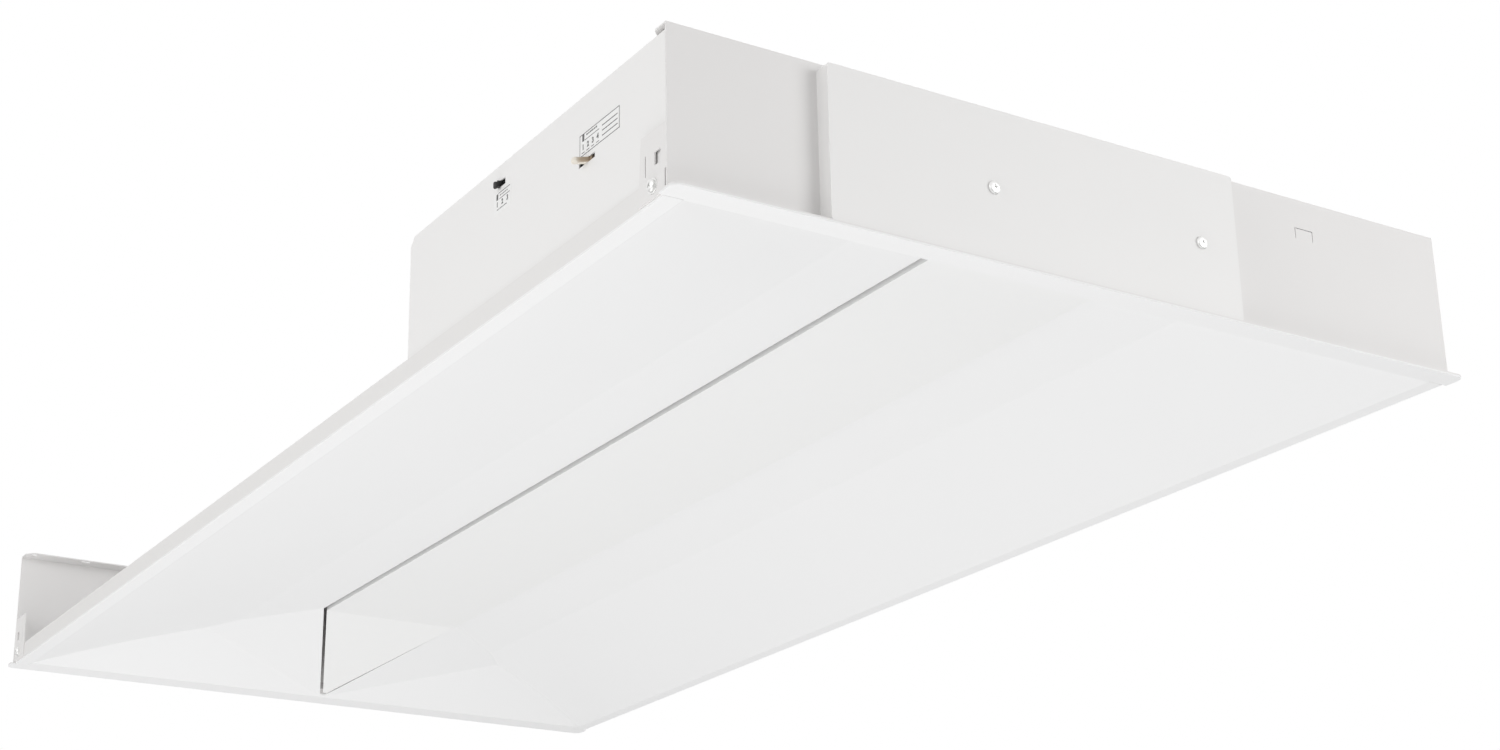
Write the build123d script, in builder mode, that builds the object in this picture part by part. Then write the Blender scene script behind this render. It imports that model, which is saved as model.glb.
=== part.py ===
"""Recessed troffer light for a 2 x 4 ft ceiling grid, as an assembly of its separate pieces (mm).

X runs along the light, +X at its driver end. The light lies face down: Z = 0 is the underside of the
flanges that rest on the ceiling grid, and +Z points up into the ceiling space. The selector switches
are on the -Y side.
"""

import os
from math import cos, hypot, radians, sin, sqrt, tan

from build123d import *

os.makedirs("parts", exist_ok=True)

# ---------------------------------------------------------------- overall size and sheet
length = 1213.0  # over the two end flanges
width = 603.0  # over the tips of the end flanges
height = 104.0  # over the end plates
sheet = 1.0  # steel of every formed panel
seam = 0.3  # clearance where two formed edges meet

# ---------------------------------------------------------------- flanges and rails
end_lip = 11.5  # end plate's outer face to the edge of the end flange
far_flange = 26.5  # width of the far end flange, as seen from below
near_flange = 16.5
flange_corner = 6.0  # radius of the outer corners of the end flanges
rail_inset = 3.5  # rail's outer face to the tip of the end flange
rail_back = 5.0  # end plate's outer face to the end of the rails
side_flange = 12.0
rail_height = 15.0

# ---------------------------------------------------------------- the recessed face
crest_y = 130.0  # where a wing turns from its steep part to the flatter band beside the lens
crest_z = 35.5
wing_bulge = 2.0  # rise of the wing's arc over its chord
wing_lip = 6.0  # upturned inner edge of each wing
far_rise = 21.0  # degrees, slope of the far panel
near_rise = 60.0
facet_fold_back = 133.5  # far end to where the facets beside the lens point meet the crests of the wings
notch_back = 31.5  # far end to the point of the notch for the lens
notch_half = 3.0
notch_z = 1.5

# ---------------------------------------------------------------- lens
lens_half = 64.5
lens_z = 40.0  # underside of the flat of the lens
lens_thick = 2.0
lens_gap = 3.0  # shadow gap round the lens
lens_drop = 2.0  # how far the lens hangs below the edges beside it
lens_lip = 6.0  # upturned edge of the lens
lens_near_gap = 1.6
fold_back = 188.5  # far end to where the flat of the lens folds down into its pointed end
lens_tip_back = 36.5
lens_tip_z = 2.2
lens_tip_half = 2.0
clip_strip = 0.6  # spring steel of the lens clips
clip_width = 10.0
clip_reach = 5.9
clip_inset = 68.0  # lens's fold and its near end to the outer clips

# ---------------------------------------------------------------- end plates and end cover
lip_depth = 18.0  # top lip of an end plate
lip_chamfer = 6.0
ear_length = 31.0  # side return of an end plate, screwed to the rail
ear_top = 43.0
ear_slant = 3.0
ear_foot = 2.0
corner_screw_back = 15.0  # from the end plate's outer face
corner_screw_z = 9.3
corner_head_r = 4.75
corner_reach = 6.0
corner_slot = 1.2
corner_slot_top = 15.0
grid_clip_window = (6.5, 8.0)
grid_clip_window_place = (9.75, 25.0)  # back from the end plate's outer face, and height
grid_clip_slit = (0.8, 12.7)
grid_clip_slit_place = (23.0, 24.0)
hanger_hole_r = 3.0
hanger_back = 13.0
hanger_y = 291.0
hanger_slot_y = 242.0
hanger_slot = (4.5, 9.0)
tie_tab_y = 179.0
tie_tab_drop = 24.0  # top of the end plate to the middle of the tab
tie_tab = (15.5, 7.5)
tie_tab_slit = 0.5
cover_depth = 11.0
cover_left = -199.0
cover_right = 108.0
cover_drop = 4.0  # top of the end plate to the top of the cover
cover_corner = 2.0
cover_screw_y = (-83.0, 78.0)
cover_screw_z = 48.0
wire_opening = (104.0, 50.0)
wire_opening_z = 50.0
wire_opening_corner = 8.0

# ---------------------------------------------------------------- light tray
tray_rise = 30.0  # underside of the lens to the underside of the tray's flat
tray_flat_inset = 5.5  # edge of the flat inside the wings' inner edges
tray_wall_out = 8.5  # foot of the slanted wall outside those edges
tray_foot = 16.0  # width of the foot that lies on the band
tray_back = 35.0  # near end plate to the tray's end
tray_end_tab = (12.0, 32.0)
board_width = 24.0
board_thick = 1.6
board_gap = 5.0
board_far_gap = 18.0  # fold of the lens to the boards
board_near_gap = 5.0  # boards to the tray's end
chip = (3.5, 2.8, 0.7)
chips_per_board = 20
rivets_per_board = 2
rivet_r = 1.6
rivet_head_r = 3.5
rivet_head = 1.2
rivet_tail_r = 2.5
rivet_tail = 1.5
hood_tip_back = 38.5  # far end to the blunt end of the hood
hood_tip_half = 8.0
hood_tip_knee = 8.0
hood_tip_z = 12.0
hood_deep = 20.0  # how far the hood's blank reaches under the face before it is trimmed

# ---------------------------------------------------------------- driver box
box_room = 40.0  # driver to the far end of the box
box_drop = 4.0  # top of the end plates to the top of the box's flanges
box_floor = 1.0
box_flange = 14.0
box_chamfer = 6.0
hatch = (150.0, 84.0)
hatch_back = 155.0  # near end plate to the middle of the hatch
hatch_lap = 8.0
hatch_screw_inset = 4.5
knockout_r = 11.1
knockout_slit = 0.8
knockout_tie = 3.0
knockout_inset = (70.0, 107.0)  # from the far end of the box, and from its sides
box_screw_end_inset = 25.0
box_screw_inset = 8.0
box_reach = 6.0

# ---------------------------------------------------------------- driver and its leads
driver_back = 65.0  # near end plate to the driver
driver_length = 230.0
driver_half = 18.0
driver_room = 5.0  # air over the driver
driver_edge = 2.0
driver_tab = 10.0
connector = (15.0, 12.0, 10.0)
connector_pitch = 15.0
connector_edge = 1.0
connector_port = (3.0, 4.0)
connector_port_depth = 9.0
lead_r = 1.3
cable_r = 2.0
cable_sag = 8.0
cable_shares = (0.2, 0.4, 0.66, 0.88)  # bends of a selector's cable, as shares of its run
lead_sides = 6  # every lead and cable
lead_rise = 7.0  # height of the leads over the tray
lead_hole_back = 18.0  # driver to the hole that its output lead goes down through
lead_bend = 5.0
grommet_r = 4.0
grommet_flange_r = 6.0
grommet_flange = 1.0
plug_block = (14.0, 10.0, 6.0)
ground_screw_inset = (15.0, 8.0)  # from the tray's end, and from the edge of its flat
tray_reach = 3.5  # how far screws in the tray reach under its flat

# ---------------------------------------------------------------- selector switches
colour_slot_back = 93.8  # near end plate to the middle of the slot
colour_slot_drop = 41.8  # top of the box's flanges to the middle of the slot
colour_slot = (19.2, 3.4)
colour_lever_width = 4.5
colour_lever_reach = 10.5
colour_travel = 6.0  # each way from rest
colour_rest = 0.0
output_slot_back = 203.0
output_slot_drop = 11.7
output_slot = (10.0, 4.4)
output_lever_width = 3.6
output_lever_reach = 6.0
output_travel = 2.5
output_rest = -2.5
lever_play = 0.15
foot_margin = 1.5  # lever's foot beyond its stem
switch_body_depth = 9.0
switch_body_margin = 6.0
switch_wall = 1.5

# ---------------------------------------------------------------- screws
screw_play = 0.1
small_screw_r = 1.9
small_head_r = 4.2
small_head = 2.2
head_taper = 16.0  # degrees
fastener_sides = 12  # screws, rivets, their holes and the grommet

# ---------------------------------------------------------------- sizes that follow from these
half_length = length / 2
half_width = width / 2
plate_x = half_length - end_lip  # outer face of each end plate
far_x = half_length - far_flange  # where the far panel starts to rise, on the -X side
near_x = half_length - near_flange
notch_x = notch_back - half_length
fold_x = fold_back - half_length
facet_fold_x = facet_fold_back - half_length
lens_tip_x = lens_tip_back - half_length
hood_tip_x = hood_tip_back - half_length
rail_y = half_width - rail_inset  # outer face of each rail
rail_end = plate_x - rail_back
wing_y = rail_y - side_flange  # where each wing starts to rise
plate_half = rail_y + sheet
band_y = lens_half + lens_gap
band_z = lens_z + lens_drop
wing_chord = hypot(wing_y - crest_y, crest_z)
wing_radius = (wing_chord**2 / 4 + wing_bulge**2) / (2 * wing_bulge)
band_slope = (band_z - crest_z) / (crest_y - band_y)
lens_near_x = near_x - (band_z + sheet) / tan(radians(near_rise)) - lens_near_gap
lens_lip_top = lens_z + lens_thick + lens_lip
clip_places = (fold_x + clip_inset, (fold_x + lens_near_x) / 2, lens_near_x - clip_inset)
screw_hole_r = small_screw_r + screw_play
rivet_hole_r = rivet_r + screw_play
corner_screw_x = plate_x - corner_screw_back
cover_x = plate_x + cover_depth
cover_top = height - cover_drop
tray_z = lens_z + tray_rise
tray_top = tray_z + sheet
tray_half = band_y - tray_flat_inset
tray_wall_y = band_y + tray_wall_out
tray_foot_y = tray_wall_y + tray_foot
tray_near = plate_x - tray_back
board_y = lens_half / 2
board_far = fold_x + board_far_gap
board_length = (tray_near - board_near_gap - board_far - board_gap) / 2
chip_pitch = board_length / chips_per_board
box_y = rail_y - sheet  # outer face of the box's side panels
driver_near = plate_x - driver_back
driver_far = driver_near - driver_length
box_far = driver_far - box_room
box_height = height - box_drop  # inside height, over the flanges
hatch_x = plate_x - hatch_back
knockout_x = box_far + knockout_inset[0]
knockout_y = box_y - knockout_inset[1]
box_screw_x = (box_far + box_screw_end_inset, plate_x - box_screw_end_inset)
lead_z = tray_top + lead_rise
lead_hole_x = driver_far - lead_hole_back
ground_screw_place = (tray_near - ground_screw_inset[0], tray_half - ground_screw_inset[1])
colour_slot_x = plate_x - colour_slot_back
colour_slot_z = box_height - colour_slot_drop
output_slot_x = plate_x - output_slot_back
output_slot_z = box_height - output_slot_drop

# ---------------------------------------------------------------- blocks that shape the face
end_zone = fold_back + half_length / 5
block_margin = 20.0
block_half = half_width + block_margin
block_drop = 60.0
block_top = height + block_margin
through = 10.0  # depth of a cut that goes right through a sheet


def band_top(y):
    """Upper surface of the band beside the lens, at a distance y from the middle."""
    return band_z - (y - band_y) * band_slope + sheet * sqrt(1 + band_slope**2)


def slab(x_range, y_range, z_range, mode=Mode.ADD):
    """A plain block between pairs of coordinates."""
    with BuildSketch(Plane.XY.offset(z_range[0])) as outline:
        with Locations(((x_range[0] + x_range[1]) / 2, (y_range[0] + y_range[1]) / 2)):
            Rectangle(x_range[1] - x_range[0], y_range[1] - y_range[0])
    extrude(outline.sketch, amount=z_range[1] - z_range[0], mode=mode)


def end_strip(side, inner, z_range):
    """An end flange from inner to the end of the light, with its two outer corners rounded."""
    with BuildSketch(Plane.XY.offset(z_range[0])) as strip:
        with Locations((side * (inner + half_length) / 2, 0)):
            Rectangle(half_length - inner, width)
        outer = strip.vertices().group_by(Axis.X)[-1 if side > 0 else 0]
        fillet(outer, flange_corner)
    extrude(strip.sketch, amount=z_range[1] - z_range[0])


def bore(place, direction, radius):
    """Cuts the hole for a screw or a cable, centred on place, through the sheet being built."""
    with BuildSketch(Plane(place, z_dir=direction)) as ring:
        RegularPolygon(radius, fastener_sides)
    extrude(ring.sketch, amount=through / 2, both=True, mode=Mode.SUBTRACT)


def pan_head(place, direction, reach, head_r=small_head_r):
    """A pan head screw whose head seats at place and whose shank runs against direction."""
    with BuildSketch(Plane(place, z_dir=direction)) as head:
        RegularPolygon(head_r, fastener_sides)
    extrude(head.sketch, amount=small_head, taper=head_taper)
    with BuildSketch(Plane(place, z_dir=direction)) as shank:
        RegularPolygon(small_screw_r, fastener_sides)
    extrude(shank.sketch, amount=-reach)


def cable(points, bends):
    """A cable along points, with a bend radius for each corner."""
    with BuildLine() as route:
        FilletPolyline(*points, radius=bends)
    with BuildSketch(Plane(route.line @ 0, z_dir=route.line % 0)) as ring:
        RegularPolygon(cable_r, lead_sides)
    sweep(ring.sketch, path=route.line)


def largest_bends(points, share=0.45):
    """The bend radii that take that share of the shorter run at each corner."""
    bends = []
    for before, corner, after in zip(points, points[1:], points[2:]):
        into = Vector(corner) - Vector(before)
        out = Vector(after) - Vector(corner)
        half_turn = radians(into.get_angle(out)) / 2
        bends.append(share * min(into.length, out.length) / tan(half_turn))
    return bends


# ---------------------------------------------------------------- shapes shared by several pieces
far_panel = Plane((-far_x, 0, 0), z_dir=(-sin(radians(far_rise)), 0, cos(radians(far_rise))))
near_panel = Plane((near_x, 0, 0), z_dir=(sin(radians(near_rise)), 0, cos(radians(near_rise))))
far_lift = sheet / cos(radians(far_rise))
near_lift = sheet / cos(radians(near_rise))


def facet(side):
    """Plane of the flat facet beside the lens point: through the tip, the lens corner and the crest."""
    tip = Vector(notch_x, side * notch_half, notch_z)
    corner = Vector(fold_x, side * band_y, band_z)
    crest = Vector(facet_fold_x, side * crest_y, crest_z)
    normal = (corner - tip).cross(crest - tip)
    return Plane(tip, z_dir=normal if normal.Z > 0 else normal * -1)


def face_outline():
    """The outline under both wings, closed below the light."""
    with BuildLine() as line:
        RadiusArc((-wing_y, 0), (-crest_y, crest_z), wing_radius)
        Polyline((-crest_y, crest_z), (-band_y, band_z), (band_y, band_z), (crest_y, crest_z))
        RadiusArc((crest_y, crest_z), (wing_y, 0), wing_radius)
        Polyline((wing_y, 0), (wing_y, -block_drop), (-wing_y, -block_drop), (-wing_y, 0))
    return make_face(line.edges(), mode=Mode.PRIVATE)


# Everything above both facets, which meet as a valley under the lens point
with BuildPart() as above_valley:
    slab((-plate_x, -plate_x + end_zone), (-block_half, block_half), (-block_drop, block_top))
    split(bisect_by=facet(-1), keep=Keep.TOP)
    split(bisect_by=facet(1), keep=Keep.TOP)

# Everything below the far panel and its two facets
with BuildPart() as far_below:
    slab((-plate_x, -plate_x + end_zone), (-block_half, block_half), (-block_drop, block_top))
    split(bisect_by=far_panel, keep=Keep.BOTTOM)
    add(above_valley.part, mode=Mode.SUBTRACT)

# Everything below the near panel
with BuildPart() as near_below:
    slab((plate_x - end_zone, plate_x), (-block_half, block_half), (-block_drop, block_top))
    split(bisect_by=near_panel, keep=Keep.BOTTOM)

# Everything below the upper surfaces of the wings
with BuildPart() as wings_below:
    with BuildSketch(Plane.YZ.offset(-plate_x)):
        add(face_outline())
        offset(amount=sheet, kind=Kind.INTERSECTION)
    extrude(amount=2 * plate_x)

# Everything below the upper surface of the far panel and of the wings it meets
with BuildPart() as far_face_below:
    add(far_below.part.moved(Location((0, 0, far_lift))))
    add(wings_below.part, mode=Mode.INTERSECT)

# The two end blocks that trim the wings to the slope of the end panels
with BuildPart() as wing_trim:
    slab((-plate_x, -plate_x + end_zone), (-wing_y, wing_y), (-block_drop, block_top))
    slab((plate_x - end_zone, plate_x), (-wing_y, wing_y), (-block_drop, block_top))
    add(far_below.part.moved(Location((0, 0, -seam))), mode=Mode.SUBTRACT)
    add(near_below.part.moved(Location((0, 0, -seam / cos(radians(near_rise))))), mode=Mode.SUBTRACT)

# ---------------------------------------------------------------- wings with their rails
with BuildPart() as left_wing:
    with BuildSketch(Plane.YZ.offset(-rail_end)):
        add(face_outline())
        offset(amount=sheet, kind=Kind.INTERSECTION)
        add(face_outline(), mode=Mode.SUBTRACT)
        with Locations((-(wing_y + band_y) / 2, block_top / 2)):
            Rectangle(wing_y - band_y, block_top, mode=Mode.INTERSECT)
        with Locations((-band_y - sheet / 2, band_z + wing_lip / 2)):
            Rectangle(sheet, wing_lip)
        with Locations((-(wing_y + rail_y) / 2, sheet / 2)):
            Rectangle(side_flange, sheet)
        with Locations((-rail_y + sheet / 2, rail_height / 2)):
            Rectangle(sheet, rail_height)
    extrude(amount=2 * rail_end)
    add(wing_trim.part, mode=Mode.SUBTRACT)
    for end in (-1, 1):
        bore((end * corner_screw_x, -rail_y, corner_screw_z), (0, 1, 0), screw_hole_r)
left_wing.part.label = "left_wing"
export_step(left_wing.part, "parts/left_wing.step")

with BuildPart() as right_wing:
    mirror(left_wing.part, about=Plane.XZ)
right_wing.part.label = "right_wing"
export_step(right_wing.part, "parts/right_wing.step")

# ---------------------------------------------------------------- end panels of the face
with BuildPart() as far_end_panel:
    add(far_face_below.part)
    slab((-far_x, -plate_x + end_zone), (-wing_y + seam, wing_y - seam), (0, block_top), Mode.INTERSECT)
    add(far_below.part, mode=Mode.SUBTRACT)
    end_strip(-1, rail_end + seam, (0, sheet))
    slab((-rail_end - seam, -far_x + seam), (-wing_y + seam, wing_y - seam), (0, sheet))
    # the notch that the pointed end of the lens fills
    with BuildSketch(Plane.XY):
        Polygon(
            (notch_x, -notch_half),
            (fold_x, -band_y),
            (-plate_x + end_zone, -band_y),
            (-plate_x + end_zone, band_y),
            (fold_x, band_y),
            (notch_x, notch_half),
            align=None,
        )
    extrude(amount=block_top, mode=Mode.SUBTRACT)
far_end_panel.part.label = "far_end_panel"
export_step(far_end_panel.part, "parts/far_end_panel.step")

with BuildPart() as near_end_panel:
    add(near_below.part.moved(Location((0, 0, near_lift))))
    add(wings_below.part, mode=Mode.INTERSECT)
    slab((plate_x - end_zone, near_x), (-wing_y + seam, wing_y - seam), (0, block_top), Mode.INTERSECT)
    add(near_below.part, mode=Mode.SUBTRACT)
    end_strip(1, rail_end + seam, (0, sheet))
    slab((near_x - seam, rail_end + seam), (-wing_y + seam, wing_y - seam), (0, sheet))
near_end_panel.part.label = "near_end_panel"
export_step(near_end_panel.part, "parts/near_end_panel.step")

# ---------------------------------------------------------------- lens and its clips
with BuildPart() as lens:
    with BuildSketch(Plane.XZ.offset(-lens_half)):
        with BuildLine():
            Polyline((lens_tip_x, lens_tip_z), (fold_x, lens_z), (lens_near_x, lens_z))
            offset(amount=lens_thick, side=Side.LEFT, kind=Kind.INTERSECTION)
        make_face()
    extrude(amount=2 * lens_half)
    for side in (-1, 1):
        edge = sorted((side * (lens_half - lens_thick), side * lens_half))
        slab((fold_x, lens_near_x), edge, (lens_z, lens_lip_top))
    slab((lens_near_x - lens_thick, lens_near_x), (-lens_half, lens_half), (lens_z, lens_lip_top))
    with BuildSketch(Plane.XY):
        Polygon(
            (lens_tip_x, -lens_tip_half),
            (fold_x, -lens_half),
            (lens_near_x, -lens_half),
            (lens_near_x, lens_half),
            (fold_x, lens_half),
            (lens_tip_x, lens_tip_half),
            align=None,
        )
    extrude(amount=block_top, mode=Mode.INTERSECT)
lens.part.label = "lens"
export_step(lens.part, "parts/lens.step")

# U-shaped spring clips over the lips of the wing and of the lens
with BuildPart() as lens_clips:
    clip_in = lens_half - lens_thick - seam  # the face that bears on the lens lip
    clip_out = band_y + sheet + seam
    clip_top = band_z + wing_lip + seam
    for x in clip_places:
        for side in (-1, 1):
            with BuildSketch(Plane.YZ.offset(x - clip_width / 2)):
                with Locations((side * (clip_in + clip_out) / 2, clip_top + clip_strip - clip_reach / 2)):
                    Rectangle(clip_out - clip_in + 2 * clip_strip, clip_reach)
                with Locations((side * (clip_in + clip_out) / 2, clip_top - clip_reach / 2)):
                    Rectangle(clip_out - clip_in, clip_reach, mode=Mode.SUBTRACT)
            extrude(amount=clip_width)
lens_clips.part.label = "lens_clips"
export_step(lens_clips.part, "parts/lens_clips.step")

# ---------------------------------------------------------------- end plates
with BuildPart() as plate_blank:
    slab((plate_x - sheet, plate_x), (-plate_half, plate_half), (sheet, height))
    end_strip(1, plate_x - sheet, (sheet, 2 * sheet))
    with BuildSketch(Plane.XY.offset(height - sheet)):
        Polygon(
            (plate_x, -plate_half),
            (plate_x, plate_half),
            (plate_x - lip_depth + lip_chamfer, plate_half),
            (plate_x - lip_depth, plate_half - lip_chamfer),
            (plate_x - lip_depth, -plate_half + lip_chamfer),
            (plate_x - lip_depth + lip_chamfer, -plate_half),
            align=None,
        )
        for side in (-1, 1):
            with Locations((plate_x - hanger_back, side * hanger_y)):
                Circle(hanger_hole_r, mode=Mode.SUBTRACT)
            with Locations((plate_x - hanger_back, side * hanger_slot_y)):
                Rectangle(*hanger_slot, mode=Mode.SUBTRACT)
    extrude(amount=sheet)
    for side in (-1, 1):
        with BuildSketch(Plane.XZ.offset(side * rail_y)):
            Polygon(
                (plate_x, ear_foot),
                (plate_x, ear_top),
                (plate_x - ear_length + ear_slant, ear_top),
                (plate_x - ear_length, ear_foot),
                align=None,
            )
            with Locations((plate_x - grid_clip_window_place[0], grid_clip_window_place[1])):
                Rectangle(*grid_clip_window, mode=Mode.SUBTRACT)
            with Locations((plate_x - grid_clip_slit_place[0], grid_clip_slit_place[1])):
                Rectangle(*grid_clip_slit, mode=Mode.SUBTRACT)
            with Locations((plate_x - sheet - corner_slot / 2, corner_slot_top / 2)):
                Rectangle(corner_slot, corner_slot_top, mode=Mode.SUBTRACT)
            with Locations((corner_screw_x, corner_screw_z)):
                RegularPolygon(screw_hole_r, fastener_sides, mode=Mode.SUBTRACT)
        extrude(amount=side * sheet)
        tie_tab_z = height - tie_tab_drop
        with BuildSketch(Plane.YZ.offset(plate_x)):
            with Locations((side * tie_tab_y, tie_tab_z)):
                Rectangle(*tie_tab)
            with Locations((side * tie_tab_y, tie_tab_z - tie_tab_slit / 2)):
                Rectangle(tie_tab[0] - 2 * tie_tab_slit, tie_tab[1] - tie_tab_slit, mode=Mode.SUBTRACT)
        extrude(amount=-sheet, mode=Mode.SUBTRACT)

with BuildPart() as near_end_plate:
    add(plate_blank.part)
    with BuildSketch(Plane.YZ.offset(plate_x)):
        with Locations((sum(cover_screw_y) / 2, wire_opening_z)):
            RectangleRounded(*wire_opening, wire_opening_corner)
        with Locations(*[(y, cover_screw_z) for y in cover_screw_y]):
            RegularPolygon(screw_hole_r, fastener_sides)
    extrude(amount=-sheet, mode=Mode.SUBTRACT)
near_end_plate.part.label = "near_end_plate"
export_step(near_end_plate.part, "parts/near_end_plate.step")

with BuildPart() as far_end_plate:
    mirror(plate_blank.part, about=Plane.YZ)
far_end_plate.part.label = "far_end_plate"
export_step(far_end_plate.part, "parts/far_end_plate.step")

with BuildPart() as corner_screws:
    for end in (-1, 1):
        for side in (-1, 1):
            seat = (end * corner_screw_x, side * plate_half, corner_screw_z)
            pan_head(seat, (0, side, 0), corner_reach, corner_head_r)
corner_screws.part.label = "corner_screws"
export_step(corner_screws.part, "parts/corner_screws.step")

# ---------------------------------------------------------------- end cover over the wire opening
with BuildPart() as end_cover:
    with BuildSketch(Plane.YZ.offset(plate_x)):
        with Locations(((cover_left + cover_right) / 2, (cover_top + 2 * sheet) / 2)):
            Rectangle(cover_right - cover_left, cover_top - 2 * sheet)
    extrude(amount=cover_depth)
    fillet(end_cover.edges().filter_by(Axis.X), cover_corner)
    offset(amount=-sheet, openings=end_cover.faces().sort_by(Axis.X)[0], kind=Kind.INTERSECTION)
    for y in cover_screw_y:
        bore((cover_x, y, cover_screw_z), (1, 0, 0), screw_hole_r)
end_cover.part.label = "end_cover"
export_step(end_cover.part, "parts/end_cover.step")

with BuildPart() as end_cover_screws:
    for y in cover_screw_y:
        pan_head((cover_x, y, cover_screw_z), (1, 0, 0), cover_depth + 2 * sheet + tray_reach)
end_cover_screws.part.label = "end_cover_screws"
export_step(end_cover_screws.part, "parts/end_cover_screws.step")

# ---------------------------------------------------------------- light tray over the lens
board_centres = [
    (board_far + board_length / 2 + row * (board_length + board_gap), side * board_y)
    for side in (-1, 1)
    for row in (0, 1)
]
rivet_step = chips_per_board // rivets_per_board * chip_pitch  # keeps the rivets between chips
rivet_places = [
    (x + (k - (rivets_per_board - 1) / 2) * rivet_step, y)
    for x, y in board_centres
    for k in range(rivets_per_board)
]
driver_screw_places = ((driver_far - driver_tab / 2, 0), (driver_near + driver_tab / 2, 0))

with BuildPart() as light_tray:
    with BuildSketch(Plane.YZ.offset(fold_x + seam)):
        with BuildLine():
            Polyline(
                (-tray_foot_y, band_top(tray_foot_y)),
                (-tray_wall_y, band_top(tray_wall_y)),
                (-tray_half, tray_z),
                (tray_half, tray_z),
                (tray_wall_y, band_top(tray_wall_y)),
                (tray_foot_y, band_top(tray_foot_y)),
            )
            offset(amount=sheet, side=Side.LEFT, kind=Kind.INTERSECTION)
        make_face()
    extrude(amount=tray_near - fold_x - seam)
    with BuildSketch(Plane.XY.offset(tray_z)):
        with Locations(*rivet_places):
            RegularPolygon(rivet_hole_r, fastener_sides)
        with Locations((lead_hole_x, 0)):
            RegularPolygon(grommet_r, fastener_sides)
        with Locations(*driver_screw_places, ground_screw_place):
            RegularPolygon(screw_hole_r, fastener_sides)
    extrude(amount=sheet, mode=Mode.SUBTRACT)
light_tray.part.label = "light_tray"
export_step(light_tray.part, "parts/light_tray.step")

# Everything inside the tray's outer surface, for what is coped round the tray
with BuildPart() as tray_below:
    with BuildSketch(Plane.YZ.offset(fold_x)):
        Polygon(
            (-tray_wall_y, band_top(tray_wall_y)),
            (-tray_half, tray_z),
            (tray_half, tray_z),
            (tray_wall_y, band_top(tray_wall_y)),
            align=None,
        )
        offset(amount=sheet + seam, kind=Kind.INTERSECTION)
    extrude(amount=tray_near - fold_x)

with BuildPart() as tray_end_plate:
    with BuildSketch(Plane.YZ.offset(tray_near - sheet)):
        Polygon(
            (-tray_wall_y, band_top(tray_wall_y)),
            (-tray_half, tray_z),
            (tray_half, tray_z),
            (tray_wall_y, band_top(tray_wall_y)),
            align=None,
        )
        offset(amount=-seam, kind=Kind.INTERSECTION)
        with Locations((0, (lens_lip_top + seam + tray_z) / 2)):
            Rectangle(2 * tray_wall_y, tray_z - lens_lip_top - seam, mode=Mode.INTERSECT)
    extrude(amount=sheet)
    tab_half = tray_end_tab[1] / 2
    slab((tray_near - tray_end_tab[0], tray_near), (-tab_half, tab_half), (tray_z - sheet, tray_z))
tray_end_plate.part.label = "tray_end_plate"
export_step(tray_end_plate.part, "parts/tray_end_plate.step")


def plane_through(first, second, third, inside):
    """The plane through three points, with its normal away from the point inside."""
    normal = (Vector(second) - Vector(first)).cross(Vector(third) - Vector(first))
    outward = normal.dot(Vector(first) - Vector(inside)) > 0
    return Plane(first, z_dir=normal if outward else normal * -1)


knee_z = band_top(tray_wall_y)
hood_core = (fold_x, 0, 0)
tip_roof = [(hood_tip_x, side * hood_tip_half, hood_tip_z) for side in (-1, 1)]
hood_roof = plane_through(*tip_roof, (fold_x, 0, tray_top), hood_core)
hood_planes = [Plane((hood_tip_x, 0, 0), z_dir=(-1, 0, 0)), hood_roof]
for side in (-1, 1):
    tip_knee = (hood_tip_x, side * hood_tip_half, hood_tip_knee)
    tray_knee = (fold_x, side * tray_wall_y, knee_z)
    tray_edge = (fold_x, side * tray_half, tray_top)
    below = (fold_x, side * tray_wall_y, -hood_deep)
    hood_planes.append(plane_through(tip_knee, tray_knee, tray_edge, hood_core))
    hood_planes.append(plane_through(tip_knee, tray_knee, below, hood_core))


def hood_block(inset):
    """The solid that the hood's planes bound, each plane moved inwards by inset."""
    slab((hood_tip_x, fold_x), (-tray_wall_y, tray_wall_y), (-hood_deep, tray_top))
    for plane in hood_planes:
        split(bisect_by=plane.offset(-inset), keep=Keep.BOTTOM)


with BuildPart() as hood_inside:
    hood_block(sheet)

# Hood over the pointed end of the lens, seated on the far panel and its facets
with BuildPart() as point_hood:
    hood_block(0)
    add(hood_inside.part, mode=Mode.SUBTRACT)
    add(far_face_below.part, mode=Mode.SUBTRACT)
    add(lens.part.moved(Location((0, 0, 2 * seam))), mode=Mode.SUBTRACT)
point_hood.part.label = "point_hood"
export_step(point_hood.part, "parts/point_hood.step")

# ---------------------------------------------------------------- light boards
board_z = tray_z - board_thick


def led_board(centre):
    """A light board under the tray, with its row of chips and its rivet holes."""
    x, y = centre
    near = (x - board_length / 2, x + board_length / 2)
    slab(near, (y - board_width / 2, y + board_width / 2), (board_z, tray_z))
    with BuildSketch(Plane.XY.offset(board_z)) as chips:
        with Locations((x, y)):
            with GridLocations(chip_pitch, 1, chips_per_board, 1):
                Rectangle(chip[0], chip[1])
    extrude(chips.sketch, amount=-chip[2])
    with BuildSketch(Plane.XY.offset(board_z)) as holes:
        with Locations((x, y)):
            with GridLocations(rivet_step, 1, rivets_per_board, 1):
                RegularPolygon(rivet_hole_r, fastener_sides)
    extrude(holes.sketch, amount=board_thick, mode=Mode.SUBTRACT)


for number, centre in enumerate(board_centres, start=1):
    with BuildPart() as board:
        led_board(centre)
    board.part.label = f"led_board_{number}"
    export_step(board.part, f"parts/led_board_{number}.step")

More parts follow.
